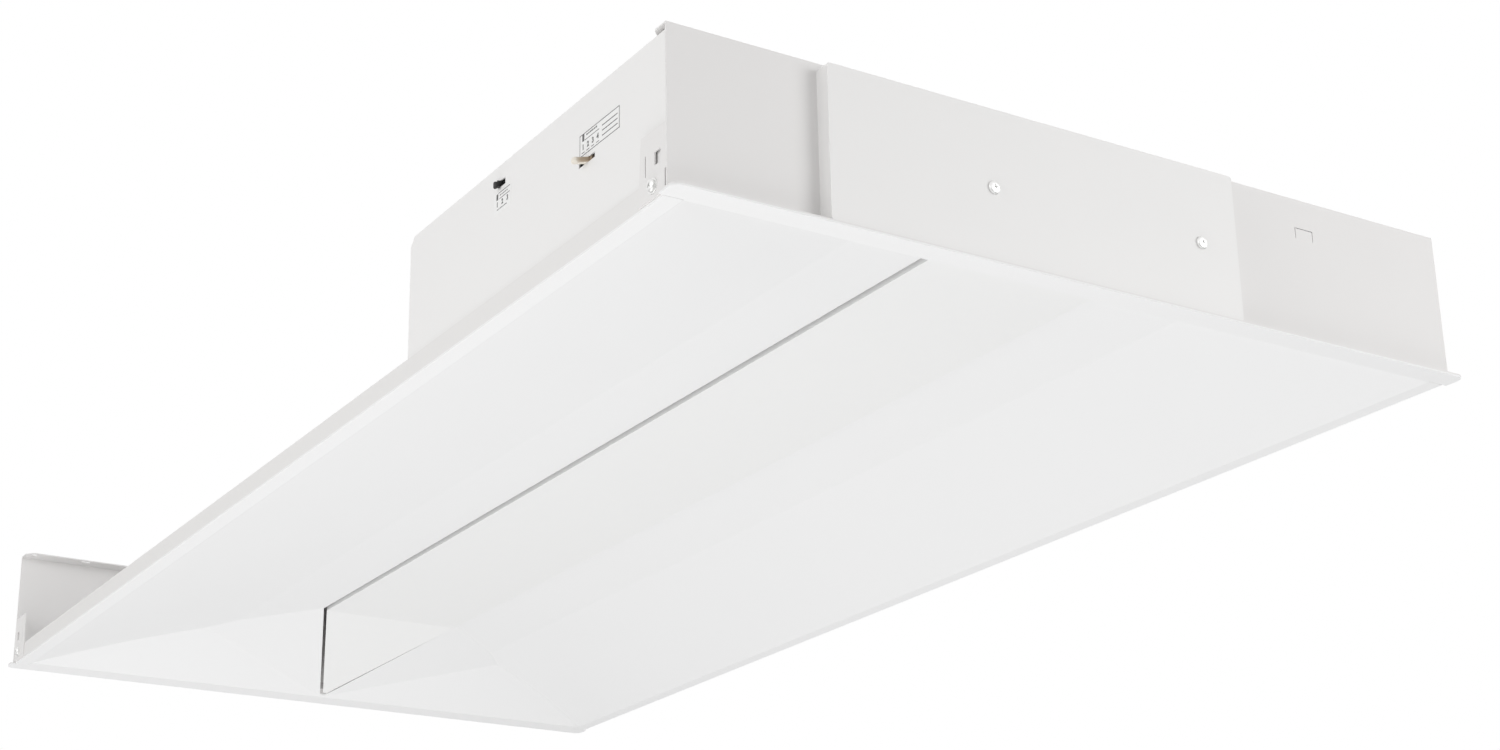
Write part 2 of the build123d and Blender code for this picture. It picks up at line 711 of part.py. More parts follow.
with BuildPart() as board_rivets:
    with BuildSketch(Plane.XY.offset(board_z - rivet_head)):
        with Locations(*rivet_places):
            RegularPolygon(rivet_head_r, fastener_sides)
    extrude(amount=rivet_head)
    with BuildSketch(Plane.XY.offset(board_z)):
        with Locations(*rivet_places):
            RegularPolygon(rivet_r, fastener_sides)
    extrude(amount=tray_top - board_z)
    with BuildSketch(Plane.XY.offset(tray_top)):
        with Locations(*rivet_places):
            RegularPolygon(rivet_tail_r, fastener_sides)
    extrude(amount=rivet_tail)
board_rivets.part.label = "board_rivets"
export_step(board_rivets.part, "parts/board_rivets.step")

# ---------------------------------------------------------------- driver box
box_roof = box_height + sheet
chamfer_x = box_far + box_chamfer
chamfer_z = box_height - box_chamfer
box_screw_y = box_y - box_screw_inset
box_near = plate_x - sheet

with BuildPart() as driver_box_top:
    with BuildSketch(Plane.XZ.offset(-box_y)):
        with BuildLine():
            Polyline((box_far, chamfer_z), (chamfer_x, box_height), (box_near, box_height))
            offset(amount=sheet, side=Side.LEFT, kind=Kind.INTERSECTION)
        make_face()
    extrude(amount=2 * box_y)
    with BuildSketch(Plane.XY.offset(box_height)):
        with Locations((hatch_x, 0)):
            Rectangle(hatch[0] - 2 * hatch_lap, hatch[1] - 2 * hatch_lap)
            with GridLocations(hatch[0] - 2 * hatch_screw_inset, hatch[1] - 2 * hatch_screw_inset, 2, 2):
                RegularPolygon(screw_hole_r, fastener_sides)
        with Locations(*[(x, side * box_screw_y) for x in box_screw_x for side in (-1, 1)]):
            RegularPolygon(screw_hole_r, fastener_sides)
    extrude(amount=sheet, mode=Mode.SUBTRACT)
    with BuildSketch(Plane.XY.offset(box_height)):
        with Locations((knockout_x, -knockout_y), (knockout_x, knockout_y)):
            Circle(knockout_r + knockout_slit)
            Circle(knockout_r, mode=Mode.SUBTRACT)
            Rectangle(2 * (knockout_r + 2 * knockout_slit), knockout_tie, mode=Mode.SUBTRACT)
    extrude(amount=sheet, mode=Mode.SUBTRACT)
driver_box_top.part.label = "driver_box_top"
export_step(driver_box_top.part, "parts/driver_box_top.step")


def side_panel(side):
    """A side of the driver box with its inward top flange and its screw holes."""
    with BuildSketch(Plane.XZ.offset(-side * (box_y - sheet))) as web:
        Polygon(
            (box_far, box_floor),
            (box_near, box_floor),
            (box_near, box_height),
            (chamfer_x, box_height),
            (box_far, chamfer_z),
            align=None,
        )
        with Locations((corner_screw_x, corner_screw_z)):
            RegularPolygon(screw_hole_r, fastener_sides, mode=Mode.SUBTRACT)
    extrude(web.sketch, amount=-side * sheet)
    flange = sorted((side * (box_y - box_flange), side * (box_y - sheet)))
    slab((chamfer_x, box_near), flange, (box_height - sheet, box_height))
    for x in box_screw_x:
        bore((x, side * box_screw_y, box_height), (0, 0, 1), screw_hole_r)


with BuildPart() as switch_side_panel:
    side_panel(-1)
    with BuildSketch(Plane.XZ.offset(box_y)):
        with Locations((colour_slot_x, colour_slot_z)):
            Rectangle(*colour_slot)
        with Locations((output_slot_x, output_slot_z)):
            Rectangle(*output_slot)
    extrude(amount=-sheet, mode=Mode.SUBTRACT)
switch_side_panel.part.label = "switch_side_panel"
export_step(switch_side_panel.part, "parts/switch_side_panel.step")

with BuildPart() as plain_side_panel:
    side_panel(1)
plain_side_panel.part.label = "plain_side_panel"
export_step(plain_side_panel.part, "parts/plain_side_panel.step")

with BuildPart() as driver_box_bulkhead:
    web_half = box_y - sheet - seam
    fold_half = box_y - box_flange - seam
    slab((box_far, box_far + sheet), (-web_half, web_half), (box_floor, chamfer_z - sheet))
    with BuildSketch(Plane.XZ.offset(-fold_half)):
        with BuildLine():
            Polyline(
                (box_far, box_height / 2),
                (box_far, chamfer_z),
                (chamfer_x, box_height),
                (chamfer_x + box_flange, box_height),
            )
            offset(amount=sheet, side=Side.RIGHT, kind=Kind.INTERSECTION)
        make_face()
    extrude(amount=2 * fold_half)
    add(wings_below.part.moved(Location((0, 0, seam))), mode=Mode.SUBTRACT)
    add(tray_below.part, mode=Mode.SUBTRACT)
    foot_span = (-tray_foot_y - seam, tray_foot_y + seam)
    slab((box_far, box_far + sheet), foot_span, (box_floor, band_top(tray_wall_y) + sheet + seam), Mode.SUBTRACT)
driver_box_bulkhead.part.label = "driver_box_bulkhead"
export_step(driver_box_bulkhead.part, "parts/driver_box_bulkhead.step")

with BuildPart() as wiring_hatch:
    with BuildSketch(Plane.XY.offset(box_roof)):
        with Locations((hatch_x, 0)):
            Rectangle(*hatch)
            with GridLocations(hatch[0] - 2 * hatch_screw_inset, hatch[1] - 2 * hatch_screw_inset, 2, 2):
                RegularPolygon(screw_hole_r, fastener_sides, mode=Mode.SUBTRACT)
    extrude(amount=sheet)
wiring_hatch.part.label = "wiring_hatch"
export_step(wiring_hatch.part, "parts/wiring_hatch.step")

with BuildPart() as hatch_screws:
    for x in (-1, 1):
        for y in (-1, 1):
            across = hatch_x + x * (hatch[0] / 2 - hatch_screw_inset)
            aside = y * (hatch[1] / 2 - hatch_screw_inset)
            pan_head((across, aside, box_roof + sheet), (0, 0, 1), box_reach)
hatch_screws.part.label = "hatch_screws"
export_step(hatch_screws.part, "parts/hatch_screws.step")

with BuildPart() as box_screws:
    for x in box_screw_x:
        for side in (-1, 1):
            pan_head((x, side * box_screw_y, box_roof), (0, 0, 1), box_reach)
box_screws.part.label = "box_screws"
export_step(box_screws.part, "parts/box_screws.step")

# ---------------------------------------------------------------- driver on the tray
base_top = tray_top + sheet
with BuildPart() as driver_base:
    ends = (driver_far - driver_tab, driver_near + driver_tab)
    slab(ends, (-driver_half, driver_half), (tray_top, base_top))
    for x, y in driver_screw_places:
        bore((x, y, base_top), (0, 0, 1), screw_hole_r)
driver_base.part.label = "driver_base"
export_step(driver_base.part, "parts/driver_base.step")

with BuildPart() as driver_cover:
    slab((driver_far, driver_near), (-driver_half, driver_half), (base_top, box_height - driver_room))
    fillet(driver_cover.edges().group_by(Axis.Z)[-1], driver_edge)
driver_cover.part.label = "driver_cover"
export_step(driver_cover.part, "parts/driver_cover.step")

with BuildPart() as driver_screws:
    for x, y in driver_screw_places:
        pan_head((x, y, base_top), (0, 0, 1), 2 * sheet + tray_reach)
driver_screws.part.label = "driver_screws"
export_step(driver_screws.part, "parts/driver_screws.step")

with BuildPart() as ground_screw:
    pan_head((*ground_screw_place, tray_top), (0, 0, 1), sheet + tray_reach)
ground_screw.part.label = "ground_screw"
export_step(ground_screw.part, "parts/ground_screw.step")

# ---------------------------------------------------------------- wiring
lead_ys = (-connector_pitch, 0.0, connector_pitch)
connector_far = tray_near - connector[0]
with BuildPart() as wire_connectors:
    for y in lead_ys:
        sides = (y - connector[1] / 2, y + connector[1] / 2)
        slab((connector_far, tray_near), sides, (tray_top, tray_top + connector[2]))
    chamfer(wire_connectors.edges().group_by(Axis.Z)[-1], connector_edge)
    with BuildSketch(Plane.YZ.offset(tray_near)):
        for y in lead_ys:
            with Locations((y, tray_top + connector[2] / 2)):
                with GridLocations(connector[1] / 2, 1, 2, 1):
                    Rectangle(*connector_port)
    extrude(amount=-connector_port_depth, mode=Mode.SUBTRACT)
wire_connectors.part.label = "wire_connectors"
export_step(wire_connectors.part, "parts/wire_connectors.step")

with BuildPart() as supply_leads:
    with BuildSketch(Plane.YZ.offset(driver_near)):
        with Locations(*[(y, lead_z) for y in lead_ys]):
            RegularPolygon(lead_r, lead_sides)
    extrude(amount=connector_far - driver_near)
supply_leads.part.label = "supply_leads"
export_step(supply_leads.part, "parts/supply_leads.step")

with BuildPart() as lead_grommet:
    with BuildSketch(Plane.XY.offset(tray_z - grommet_flange)):
        with Locations((lead_hole_x, 0)):
            RegularPolygon(grommet_flange_r, fastener_sides)
    extrude(amount=grommet_flange)
    with BuildSketch(Plane.XY.offset(tray_z)):
        with Locations((lead_hole_x, 0)):
            RegularPolygon(grommet_r - screw_play, fastener_sides)
    extrude(amount=sheet)
    with BuildSketch(Plane.XY.offset(tray_top)):
        with Locations((lead_hole_x, 0)):
            RegularPolygon(grommet_flange_r, fastener_sides)
    extrude(amount=grommet_flange)
    bore((lead_hole_x, 0, tray_top), (0, 0, 1), cable_r + screw_play)
lead_grommet.part.label = "lead_grommet"
export_step(lead_grommet.part, "parts/lead_grommet.step")

plug_top = tray_z - grommet_flange
with BuildPart() as led_lead:
    cable(((driver_far, 0, lead_z), (lead_hole_x, 0, lead_z), (lead_hole_x, 0, plug_top)), lead_bend)
led_lead.part.label = "led_lead"
export_step(led_lead.part, "parts/led_lead.step")

with BuildPart() as led_plug:
    with BuildSketch(Plane.XY.offset(plug_top - plug_block[2])):
        with Locations((lead_hole_x, 0)):
            Rectangle(plug_block[0], plug_block[1])
    extrude(amount=plug_block[2])
    chamfer(led_plug.edges().group_by(Axis.Z)[0], connector_edge)
led_plug.part.label = "led_plug"
export_step(led_plug.part, "parts/led_plug.step")

# The cables from the driver to the selectors sag a little between their ends
switch_in_y = -(box_y - sheet - switch_body_depth)
with BuildPart() as switch_leads:
    for x, z_end in ((colour_slot_x, colour_slot_z), (output_slot_x, output_slot_z)):
        low = min(lead_z, z_end) - cable_sag
        across = [-driver_half + share * (switch_in_y + driver_half) for share in (0, *cable_shares, 1)]
        heights = (lead_z, lead_z, low, low, z_end, z_end)
        points = [(x, y, z) for y, z in zip(across, heights)]
        cable(points, largest_bends(points))
switch_leads.part.label = "switch_leads"
export_step(switch_leads.part, "parts/switch_leads.step")

# ---------------------------------------------------------------- selector switches
wall_in_y = -(box_y - sheet)  # inner face of the switch side panel
foot_y = (wall_in_y + lever_play, switch_in_y - switch_wall - lever_play)


def selector_body(x, z, slot, lever_width, travel):
    """A selector's housing behind its slot, hollow for the foot of the lever."""
    half_x = slot[0] / 2 + switch_body_margin
    half_z = slot[1] / 2 + switch_body_margin
    slab((x - half_x, x + half_x), (wall_in_y, switch_in_y), (z - half_z, z + half_z))
    room_x = travel + lever_width / 2 + foot_margin + lever_play
    room_z = slot[1] / 2 + foot_margin
    room = (wall_in_y, switch_in_y - switch_wall)
    slab((x - room_x, x + room_x), room, (z - room_z, z + room_z), Mode.SUBTRACT)


def selector_lever(x, z, slot, lever_width, reach):
    """A selector's lever: a stem through the slot with a rounded end, on a wider foot inside."""
    half_z = slot[1] / 2 - lever_play
    with BuildSketch(Plane.XY.offset(z - half_z)) as stem:
        with BuildLine() as line:
            tip_y = -box_y - reach
            round_y = tip_y + lever_width / 2
            Line((x - lever_width / 2, foot_y[1]), (x + lever_width / 2, foot_y[1]))
            Line((x + lever_width / 2, foot_y[1]), (x + lever_width / 2, round_y))
            ThreePointArc((x + lever_width / 2, round_y), (x, tip_y), (x - lever_width / 2, round_y))
            Line((x - lever_width / 2, round_y), (x - lever_width / 2, foot_y[1]))
        make_face(line.edges())
    extrude(stem.sketch, amount=2 * half_z)
    foot_x = lever_width / 2 + foot_margin
    foot_z = slot[1] / 2 + foot_margin - lever_play
    slab((x - foot_x, x + foot_x), foot_y, (z - foot_z, z + foot_z))


with BuildPart() as colour_selector_body:
    selector_body(colour_slot_x, colour_slot_z, colour_slot, colour_lever_width, colour_travel)
colour_selector_body.part.label = "colour_selector_body"
export_step(colour_selector_body.part, "parts/colour_selector_body.step")

with BuildPart() as colour_selector_lever:
    rest_x = colour_slot_x + colour_rest
    selector_lever(rest_x, colour_slot_z, colour_slot, colour_lever_width, colour_lever_reach)
colour_selector_lever.part.label = "colour_selector_lever"
export_step(colour_selector_lever.part, "parts/colour_selector_lever.step")

with BuildPart() as output_selector_body:
    selector_body(output_slot_x, output_slot_z, output_slot, output_lever_width, output_travel)
output_selector_body.part.label = "output_selector_body"
export_step(output_selector_body.part, "parts/output_selector_body.step")

with BuildPart() as output_selector_lever:
    rest_x = output_slot_x + output_rest
    selector_lever(rest_x, output_slot_z, output_slot, output_lever_width, output_lever_reach)
output_selector_lever.part.label = "output_selector_lever"
export_step(output_selector_lever.part, "parts/output_selector_lever.step")
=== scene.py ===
"""Finish, fasteners, labels, stage and camera of the recessed troffer light, in metres.

X runs along the light, +X at its driver end, and Z = 0 is the underside of the flanges that rest on the
ceiling grid. The light is seen from below, from the switch side of its driver end.
"""

import math

import bmesh
import bpy
from bpy.props import FloatProperty, FloatVectorProperty, IntProperty, PointerProperty
from mathutils import Matrix, Vector


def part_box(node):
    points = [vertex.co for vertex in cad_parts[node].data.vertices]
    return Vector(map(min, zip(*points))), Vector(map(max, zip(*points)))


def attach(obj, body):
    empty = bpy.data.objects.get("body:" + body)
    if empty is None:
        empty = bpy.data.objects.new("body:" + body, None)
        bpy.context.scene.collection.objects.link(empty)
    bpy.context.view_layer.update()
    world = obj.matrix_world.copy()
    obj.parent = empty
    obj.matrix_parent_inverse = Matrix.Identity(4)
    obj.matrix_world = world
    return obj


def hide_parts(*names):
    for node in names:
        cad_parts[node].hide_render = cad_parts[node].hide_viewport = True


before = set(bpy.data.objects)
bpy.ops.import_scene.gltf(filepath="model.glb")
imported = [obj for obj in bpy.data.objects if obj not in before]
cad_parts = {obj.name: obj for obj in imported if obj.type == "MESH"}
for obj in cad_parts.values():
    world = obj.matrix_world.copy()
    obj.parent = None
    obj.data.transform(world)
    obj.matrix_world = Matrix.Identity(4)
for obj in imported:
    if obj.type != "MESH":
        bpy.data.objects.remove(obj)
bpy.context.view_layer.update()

bl_info = {
    "name": "Recessed troffer light",
    "version": (1, 0, 0),
    "blender": (4, 5, 0),
    "location": "View3D > Sidebar > Troffer",
    "description": "Finishes, fasteners and labels of a recessed troffer light",
    "category": "Object",
}

MM = 0.001
X_AXIS, Z_AXIS = 0, 2
FORWARD = (1, 0, 0)
UP = (0, 0, 1)
SHARP = math.radians(50)  # an edge that turns by more than this is softened
MERGE = 1e-6  # corners nearer than this are one


# ---------------------------------------------------------------- settings
def colour(label, text, default):
    """A colour that a user can change."""
    return FloatVectorProperty(
        name=label, description=text, default=default, size=3, subtype="COLOR", min=0.0, max=1.0
    )


def length(label, text, default):
    """A length that a user can change."""
    return FloatProperty(name=label, description=text, default=default, min=0.0, unit="LENGTH")


def amount(label, text, default):
    """A strength or a power that a user can change."""
    return FloatProperty(name=label, description=text, default=default, min=0.0)


class TrofferFinish(bpy.types.PropertyGroup):
    """Colours of the sheet metal, the lens, the moulded pieces, the wiring and the print."""

    reflector: colour("Reflector", "Matt white enamel of the lit face", (0.90, 0.90, 0.90))
    # Painted shade: a darker, warmer tone for the outer sides of the rails, standing in for the shade that
    # falls there.
    rail: colour("Rail", "Thinner coat on the outer side of the rails", (0.80, 0.79, 0.78))
    housing: colour("Housing", "Satin white enamel of the end plates", (0.80, 0.788, 0.78))
    box: colour("Driver box", "Satin white enamel of the driver box and the end cover", (0.855, 0.848, 0.84))
    lens: colour("Lens", "Frosted diffuser", (0.90, 0.90, 0.895))
    zinc: colour("Zinc", "Plated screws", (0.86, 0.86, 0.85))
    spring: colour("Spring steel", "Clips that hold the lens", (0.55, 0.56, 0.58))
    rivet: colour("Rivets", "Aluminium rivets of the boards", (0.72, 0.72, 0.73))
    ground: colour("Ground screw", "Green plated screw", (0.03, 0.20, 0.06))
    ivory: colour("Ivory lever", "Lever of the colour selector", (0.84, 0.79, 0.70))
    # Painted shade: the darker tan tone of the colour lever's flank that faces the end plate.
    tan: colour("Tan flank", "The colour selector's flank, towards the end plate", (0.50, 0.39, 0.28))
    black: colour("Black plastic", "Lever and bodies of the selectors", (0.012, 0.012, 0.013))
    plug: colour("Plug", "White nylon of the boards' plug", (0.80, 0.78, 0.72))
    connector: colour("Wire connectors", "Orange nylon", (0.60, 0.17, 0.02))
    jacket: colour("Cable jacket", "Grey jacket of the inner cables", (0.27, 0.28, 0.29))
    rubber: colour("Grommet", "Black rubber", (0.012, 0.012, 0.012))
    neutral_lead: colour("Neutral lead", "White insulation", (0.75, 0.75, 0.73))
    live_lead: colour("Live lead", "Black insulation", (0.01, 0.01, 0.01))
    ground_lead: colour("Ground lead", "Green insulation", (0.02, 0.22, 0.06))
    board: colour("Board", "White solder mask", (0.86, 0.86, 0.82))
    phosphor: colour("Phosphor", "Yellow face of the chips", (0.80, 0.62, 0.12))
    film: colour("Label film", "White film of the labels", (0.87, 0.866, 0.86))
    ink: colour("Ink", "Print on the labels", (0.09, 0.09, 0.09))


class TrofferScrews(bpy.types.PropertyGroup):
    """Sizes of the pan head screws."""

    head_radius: length("Head radius", "Radius of a pan head", 4.2 * MM)
    head_height: length("Head height", "Height of a pan head", 2.2 * MM)
    shank_radius: length("Shank radius", "Radius over the thread", 1.9 * MM)
    thread_pitch: length("Thread pitch", "Distance between two turns of the thread", 1.1 * MM)
    recess_reach: length("Recess reach", "Half the length of the cross recess", 2.1 * MM)
    recess_width: length("Recess width", "Width of a slot of the cross recess", 0.8 * MM)
    recess_depth: length("Recess depth", "Depth of the cross recess", 1.5 * MM)
    washer_radius: length("Washer radius", "Radius of the washer under a corner screw", 4.75 * MM)
    washer_height: length("Washer height", "Thickness of that washer", 0.7 * MM)
    corner_head_radius: length("Corner head radius", "Radius of a corner screw's head", 3.7 * MM)
    corner_seat: length("Corner seat", "From the light's middle to a corner screw's washer", 299.0 * MM)
    corner_reach: length("Corner reach", "Length of a corner screw under its washer", 6.0 * MM)
    cover_reach: length("Cover reach", "Length of an end cover screw under its head", 16.5 * MM)
    soft_edge: length("Soft edge", "Bevel on a screw's edges", 0.12 * MM)
    sides: IntProperty(name="Sides", description="Sides of a screw's round parts", default=28, min=12)


class TrofferLevers(bpy.types.PropertyGroup):
    """Sizes of the selector levers."""

    colour_edge: length("Colour edge", "Radius of the colour lever's edges", 0.8 * MM)
    output_edge: length("Output edge", "Radius of the output lever's edges", 0.7 * MM)
    droop: length("Droop", "How far the tips hang under the middle of their slots", 1.4 * MM)
    colour_lean: length("Colour lean", "How far the colour lever's tip leans to its left", 0.8 * MM)
    colour_widen: length("Colour widen", "How much wider the colour lever is on its left", 1.0 * MM)
    colour_trim: length("Colour trim", "How much shorter the colour lever is than its blank", 1.5 * MM)
    output_trim: length("Output trim", "How much shorter the output lever is than its blank", 1.7 * MM)


class TrofferLabels(bpy.types.PropertyGroup):
    """Sizes of the two printed labels beside the selectors."""

    film: length("Film", "Thickness of the label film", 0.12 * MM)
    print_height: length("Print height", "How far the print stands on the film", 0.04 * MM)
    line: length("Line", "Width of a label's frame", 0.5 * MM)
    corner: length("Corner", "Radius of a label's corners", 0.6 * MM)
    numeral: length("Numeral", "Size of the position numbers", 4.6 * MM)
    numeral_weight: length("Numeral weight", "How much their strokes are thickened", 0.2 * MM)


class TrofferStage(bpy.types.PropertyGroup):
    """Floor, lamps and sky."""

    floor_drop: length("Floor drop", "Depth of the floor under the light", 5.0)
    floor_size: length("Floor size", "Length of the floor's sides", 80.0)
    floor_tone: colour("Floor tone", "Colour of the floor", (0.86, 0.86, 0.86))
    floor_glow: amount("Floor glow", "How much paler the floor is seen", 0.3)
    sky_level: amount("Sky level", "Strength of the even light", 0.55)
    face_power: amount("Face lamp", "Power of the lamp below the light, in watts", 23.5)
    end_power: amount("End lamp", "Power of the lamp at the driver end, in watts", 38.0)
    side_power: amount("Side lamp", "Power of the lamp at the switch side, in watts", 34.0)
    top_power: amount("Top lamp", "Power of the lamp above the light, in watts", 30.0)


SETTINGS = {
    "troffer_finish": TrofferFinish,
    "troffer_screws": TrofferScrews,
    "troffer_levers": TrofferLevers,
    "troffer_labels": TrofferLabels,
    "troffer_stage": TrofferStage,
}


# ---------------------------------------------------------------- shader helpers
def add_node(tree, kind, inputs=None, **settings):
    """A shader node with its settings, its values and the sockets that feed it."""
    made = tree.nodes.new(kind)
    for name, value in settings.items():
        setattr(made, name, value)
    for key, value in (inputs or {}).items():
        if isinstance(value, bpy.types.NodeSocket):
            tree.links.new(value, made.inputs[key])
        else:
            made.inputs[key].default_value = value
    return made


def coordinates(tree):
    """The object's own coordinates, in metres."""
    return add_node(tree, "ShaderNodeTexCoord").outputs["Object"]


def position(tree):
    """The same coordinates as the sockets X, Y and Z."""
    return add_node(tree, "ShaderNodeSeparateXYZ", {"Vector": coordinates(tree)}).outputs


def noise(tree, place, scale, detail=2.0):
    """Noise between 0 and 1 on the given coordinates."""
    made = add_node(tree, "ShaderNodeTexNoise", {"Vector": place, "Scale": scale, "Detail": detail})
    return made.outputs["Fac"]


def calculate(tree, operation, first, second=0.0):
    """One step of arithmetic."""
    return add_node(tree, "ShaderNodeMath", {0: first, 1: second}, operation=operation).outputs[0]


def spread(tree, value, low, high):
    """Maps 0 to 1 onto low to high."""
    made = add_node(tree, "ShaderNodeMapRange", {"Value": value, "To Min": low, "To Max": high})
    return made.outputs["Result"]


def ramp(tree, value, start, width):
    """A mask that rises from 0 at start to 1 over a width."""
    limits = {"Value": value, "From Min": start, "From Max": start + width}
    return add_node(tree, "ShaderNodeMapRange", limits).outputs["Result"]


def tint(tree, base, factor):
    """Multiplies a colour by a value."""
    made = add_node(tree, "ShaderNodeVectorMath", {0: base, "Scale": factor}, operation="SCALE")
    return made.outputs["Vector"]


def blend(tree, mask, first, second):
    """The first colour where a mask is 0 and the second where it is 1."""
    return add_node(tree, "ShaderNodeMix", {0: mask, 6: first, 7: second}, data_type="RGBA").outputs[2]


# ---------------------------------------------------------------- shared surfaces
def start_surface(name, grey, own, low, high):
    """A surface's node group with its sockets, and what its nodes read and feed.

    It takes a colour, the inputs of its own and a range of gloss.
    It gives a colour, a roughness and a height.
    """
    group = bpy.data.node_groups.new(name, "ShaderNodeTree")
    inputs = [("Colour", "NodeSocketColor", (grey, grey, grey, 1.0)), *own]
    inputs += [("Gloss Low", "NodeSocketFloat", low), ("Gloss High", "NodeSocketFloat", high)]
    outputs = {"Colour": "NodeSocketColor", "Roughness": "NodeSocketFloat", "Height": "NodeSocketFloat"}
    for label, kind, default in inputs:
        group.interface.new_socket(label, in_out="INPUT", socket_type=kind).default_value = default
    for label, kind in outputs.items():
        group.interface.new_socket(label, in_out="OUTPUT", socket_type=kind)
    given = group.nodes.new("NodeGroupInput").outputs
    out = group.nodes.new("NodeGroupOutput").inputs
    return group, given, out, coordinates(group)


def end_surface(group, given, out, depth, clouds, patches, height):
    """Feeds a group's outputs: clouds darken its colour by up to a depth, and patches vary its gloss."""
    darkest = calculate(group, "SUBTRACT", 1.0, depth)
    results = {
        "Colour": tint(group, given["Colour"], spread(group, clouds, darkest, 1.0)),
        "Roughness": spread(group, patches, given["Gloss Low"], given["Gloss High"]),
        "Height": height,
    }
    for name, socket in results.items():
        group.links.new(socket, out[name])
    return group


def enamel_group():
    """Sprayed enamel: a fine orange peel, faint clouds in the colour and an uneven gloss."""
    own = [("Clouding", "NodeSocketFloat", 0.02), ("Peel Scale", "NodeSocketFloat", 420.0)]
    group, given, out, place = start_surface("sprayed_enamel", 0.9, own, low=0.42, high=0.55)
    fineness, fine_share = 4.0, 0.35
    clouds = noise(group, place, scale=7.0, detail=3.0)
    patches = noise(group, place, scale=23.0)
    peel = noise(group, place, scale=given["Peel Scale"], detail=1.5)
    fine_scale = calculate(group, "MULTIPLY", given["Peel Scale"], fineness)
    fine = noise(group, place, scale=fine_scale, detail=1.0)
    height = calculate(group, "ADD", peel, calculate(group, "MULTIPLY", fine, fine_share))
    return end_surface(group, given, out, given["Clouding"], clouds, patches, height)


def metal_group():
    """Plated or rolled metal: streaks along one axis in its colour, its gloss and its height."""
    own = [("Streaks", "NodeSocketVector", (60.0, 1800.0, 1800.0)), ("Contrast", "NodeSocketFloat", 0.12)]
    group, given, out, place = start_surface("rolled_metal", 0.8, own, low=0.28, high=0.45)
    drawn = add_node(group, "ShaderNodeVectorMath", {0: place, 1: given["Streaks"]}, operation="MULTIPLY")
    streaks = noise(group, drawn.outputs["Vector"], scale=1.0, detail=3.0)
    spots = noise(group, place, scale=350.0)
    mixed = calculate(group, "MULTIPLY", calculate(group, "ADD", streaks, spots), 0.5)
    return end_surface(group, given, out, given["Contrast"], mixed, mixed, streaks)


def moulded_group():
    """Moulded plastic or rubber: a fine eroded texture with faint flow marks."""
    own = [("Grain", "NodeSocketFloat", 1500.0), ("Flow", "NodeSocketFloat", 0.06)]
    group, given, out, place = start_surface("moulded_skin", 0.5, own, low=0.35, high=0.5)
    grain = noise(group, place, scale=given["Grain"])
    flow = noise(group, place, scale=90.0)
    return end_surface(group, given, out, given["Flow"], flow, grain, grain)


SURFACES = {"enamel": enamel_group, "metal": metal_group, "moulded": moulded_group}
built_surfaces = {}


def shared(name):
    """One of the shared surfaces, built at its first use."""
    if name not in built_surfaces:
        built_surfaces[name] = SURFACES[name]()
    return built_surfaces[name]


# ---------------------------------------------------------------- material helpers
def new_material(name):
    """A material with an empty node tree."""
    made = bpy.data.materials.new(name)
    made.use_nodes = True
    made.node_tree.nodes.clear()
    return made


def show(tree, shader):
    """Ends a material's tree with its shader."""
    output = tree.nodes.new("ShaderNodeOutputMaterial")
    tree.links.new(shader.outputs["BSDF"], output.inputs["Surface"])


def coat(material, surface_name, inputs, relief, metallic=0.0):
    """Covers a material with a shared surface, whose height stands out by a relief, and gives it back."""
    tree = material.node_tree
    surface = add_node(tree, "ShaderNodeGroup", inputs, node_tree=shared(surface_name)).outputs
    texture = {"Height": surface["Height"], "Distance": relief, "Strength": 1.0}
    bump = add_node(tree, "ShaderNodeBump", texture)
    feeds = {
        "Base Color": surface["Colour"],
        "Roughness": surface["Roughness"],
        "Normal": bump.outputs["Normal"],
        "Metallic": metallic,
    }
    show(tree, add_node(tree, "ShaderNodeBsdfPrincipled", feeds))
    return material


def finish_colour(name):
    """One of the finish's colours, with full alpha."""
    return (*getattr(bpy.context.scene.troffer_finish, name), 1.0)


def gloss(low, high):
    """A range of roughness, as the inputs of a shared surface."""
    return {"Gloss Low": low, "Gloss High": high}


# ---------------------------------------------------------------- materials of this light
def reflector_enamel():
    """Matt white enamel, with painted shade: darker and warmer on the outer side of the rails."""
    material = new_material("reflector_enamel")
    tree = material.node_tree
    axes = position(tree)
    rail_start = 297.4 * MM
    flange_top = 1.2 * MM
    # Painted shade: this mask picks the outer sides of the rails above the flange, which take the darker
    # rail colour.
    outer = calculate(tree, "GREATER_THAN", calculate(tree, "ABSOLUTE", axes["Y"]), rail_start)
    raised = calculate(tree, "GREATER_THAN", axes["Z"], flange_top)
    rail_shade_mask = calculate(tree, "MULTIPLY", outer, raised)
    tone = blend(tree, rail_shade_mask, finish_colour("reflector"), finish_colour("rail"))
    inputs = {"Colour": tone, "Clouding": 0.012, "Peel Scale": 380.0, **gloss(0.62, 0.72)}
    return coat(material, "enamel", inputs, relief=0.012 * MM)


def satin_enamel(name, tone):
    """Satin white enamel of folded sheet."""
    inputs = {"Colour": finish_colour(tone), "Clouding": 0.02, "Peel Scale": 420.0, **gloss(0.42, 0.55)}
    return coat(new_material(name), "enamel", inputs, relief=0.016 * MM)


def housing_enamel():
    """The end plates and the channel over the lens."""
    return satin_enamel("housing_enamel", "housing")


def box_enamel():
    """The driver box and the end cover, a little paler."""
    return satin_enamel("box_enamel", "box")


def driver_enamel():
    """Glossier, coarser enamel of the driver's case."""
    inputs = {"Colour": finish_colour("housing"), "Clouding": 0.05, "Peel Scale": 600.0, **gloss(0.3, 0.42)}
    return coat(new_material("driver_enamel"), "enamel", inputs, relief=0.02 * MM)


def lens_acrylic():
    """Frosted diffuser with a very fine, even skin."""
    inputs = {"Colour": finish_colour("lens"), "Grain": 2600.0, "Flow": 0.01, **gloss(0.5, 0.62)}
    return coat(new_material("lens_acrylic"), "moulded", inputs, relief=0.006 * MM)


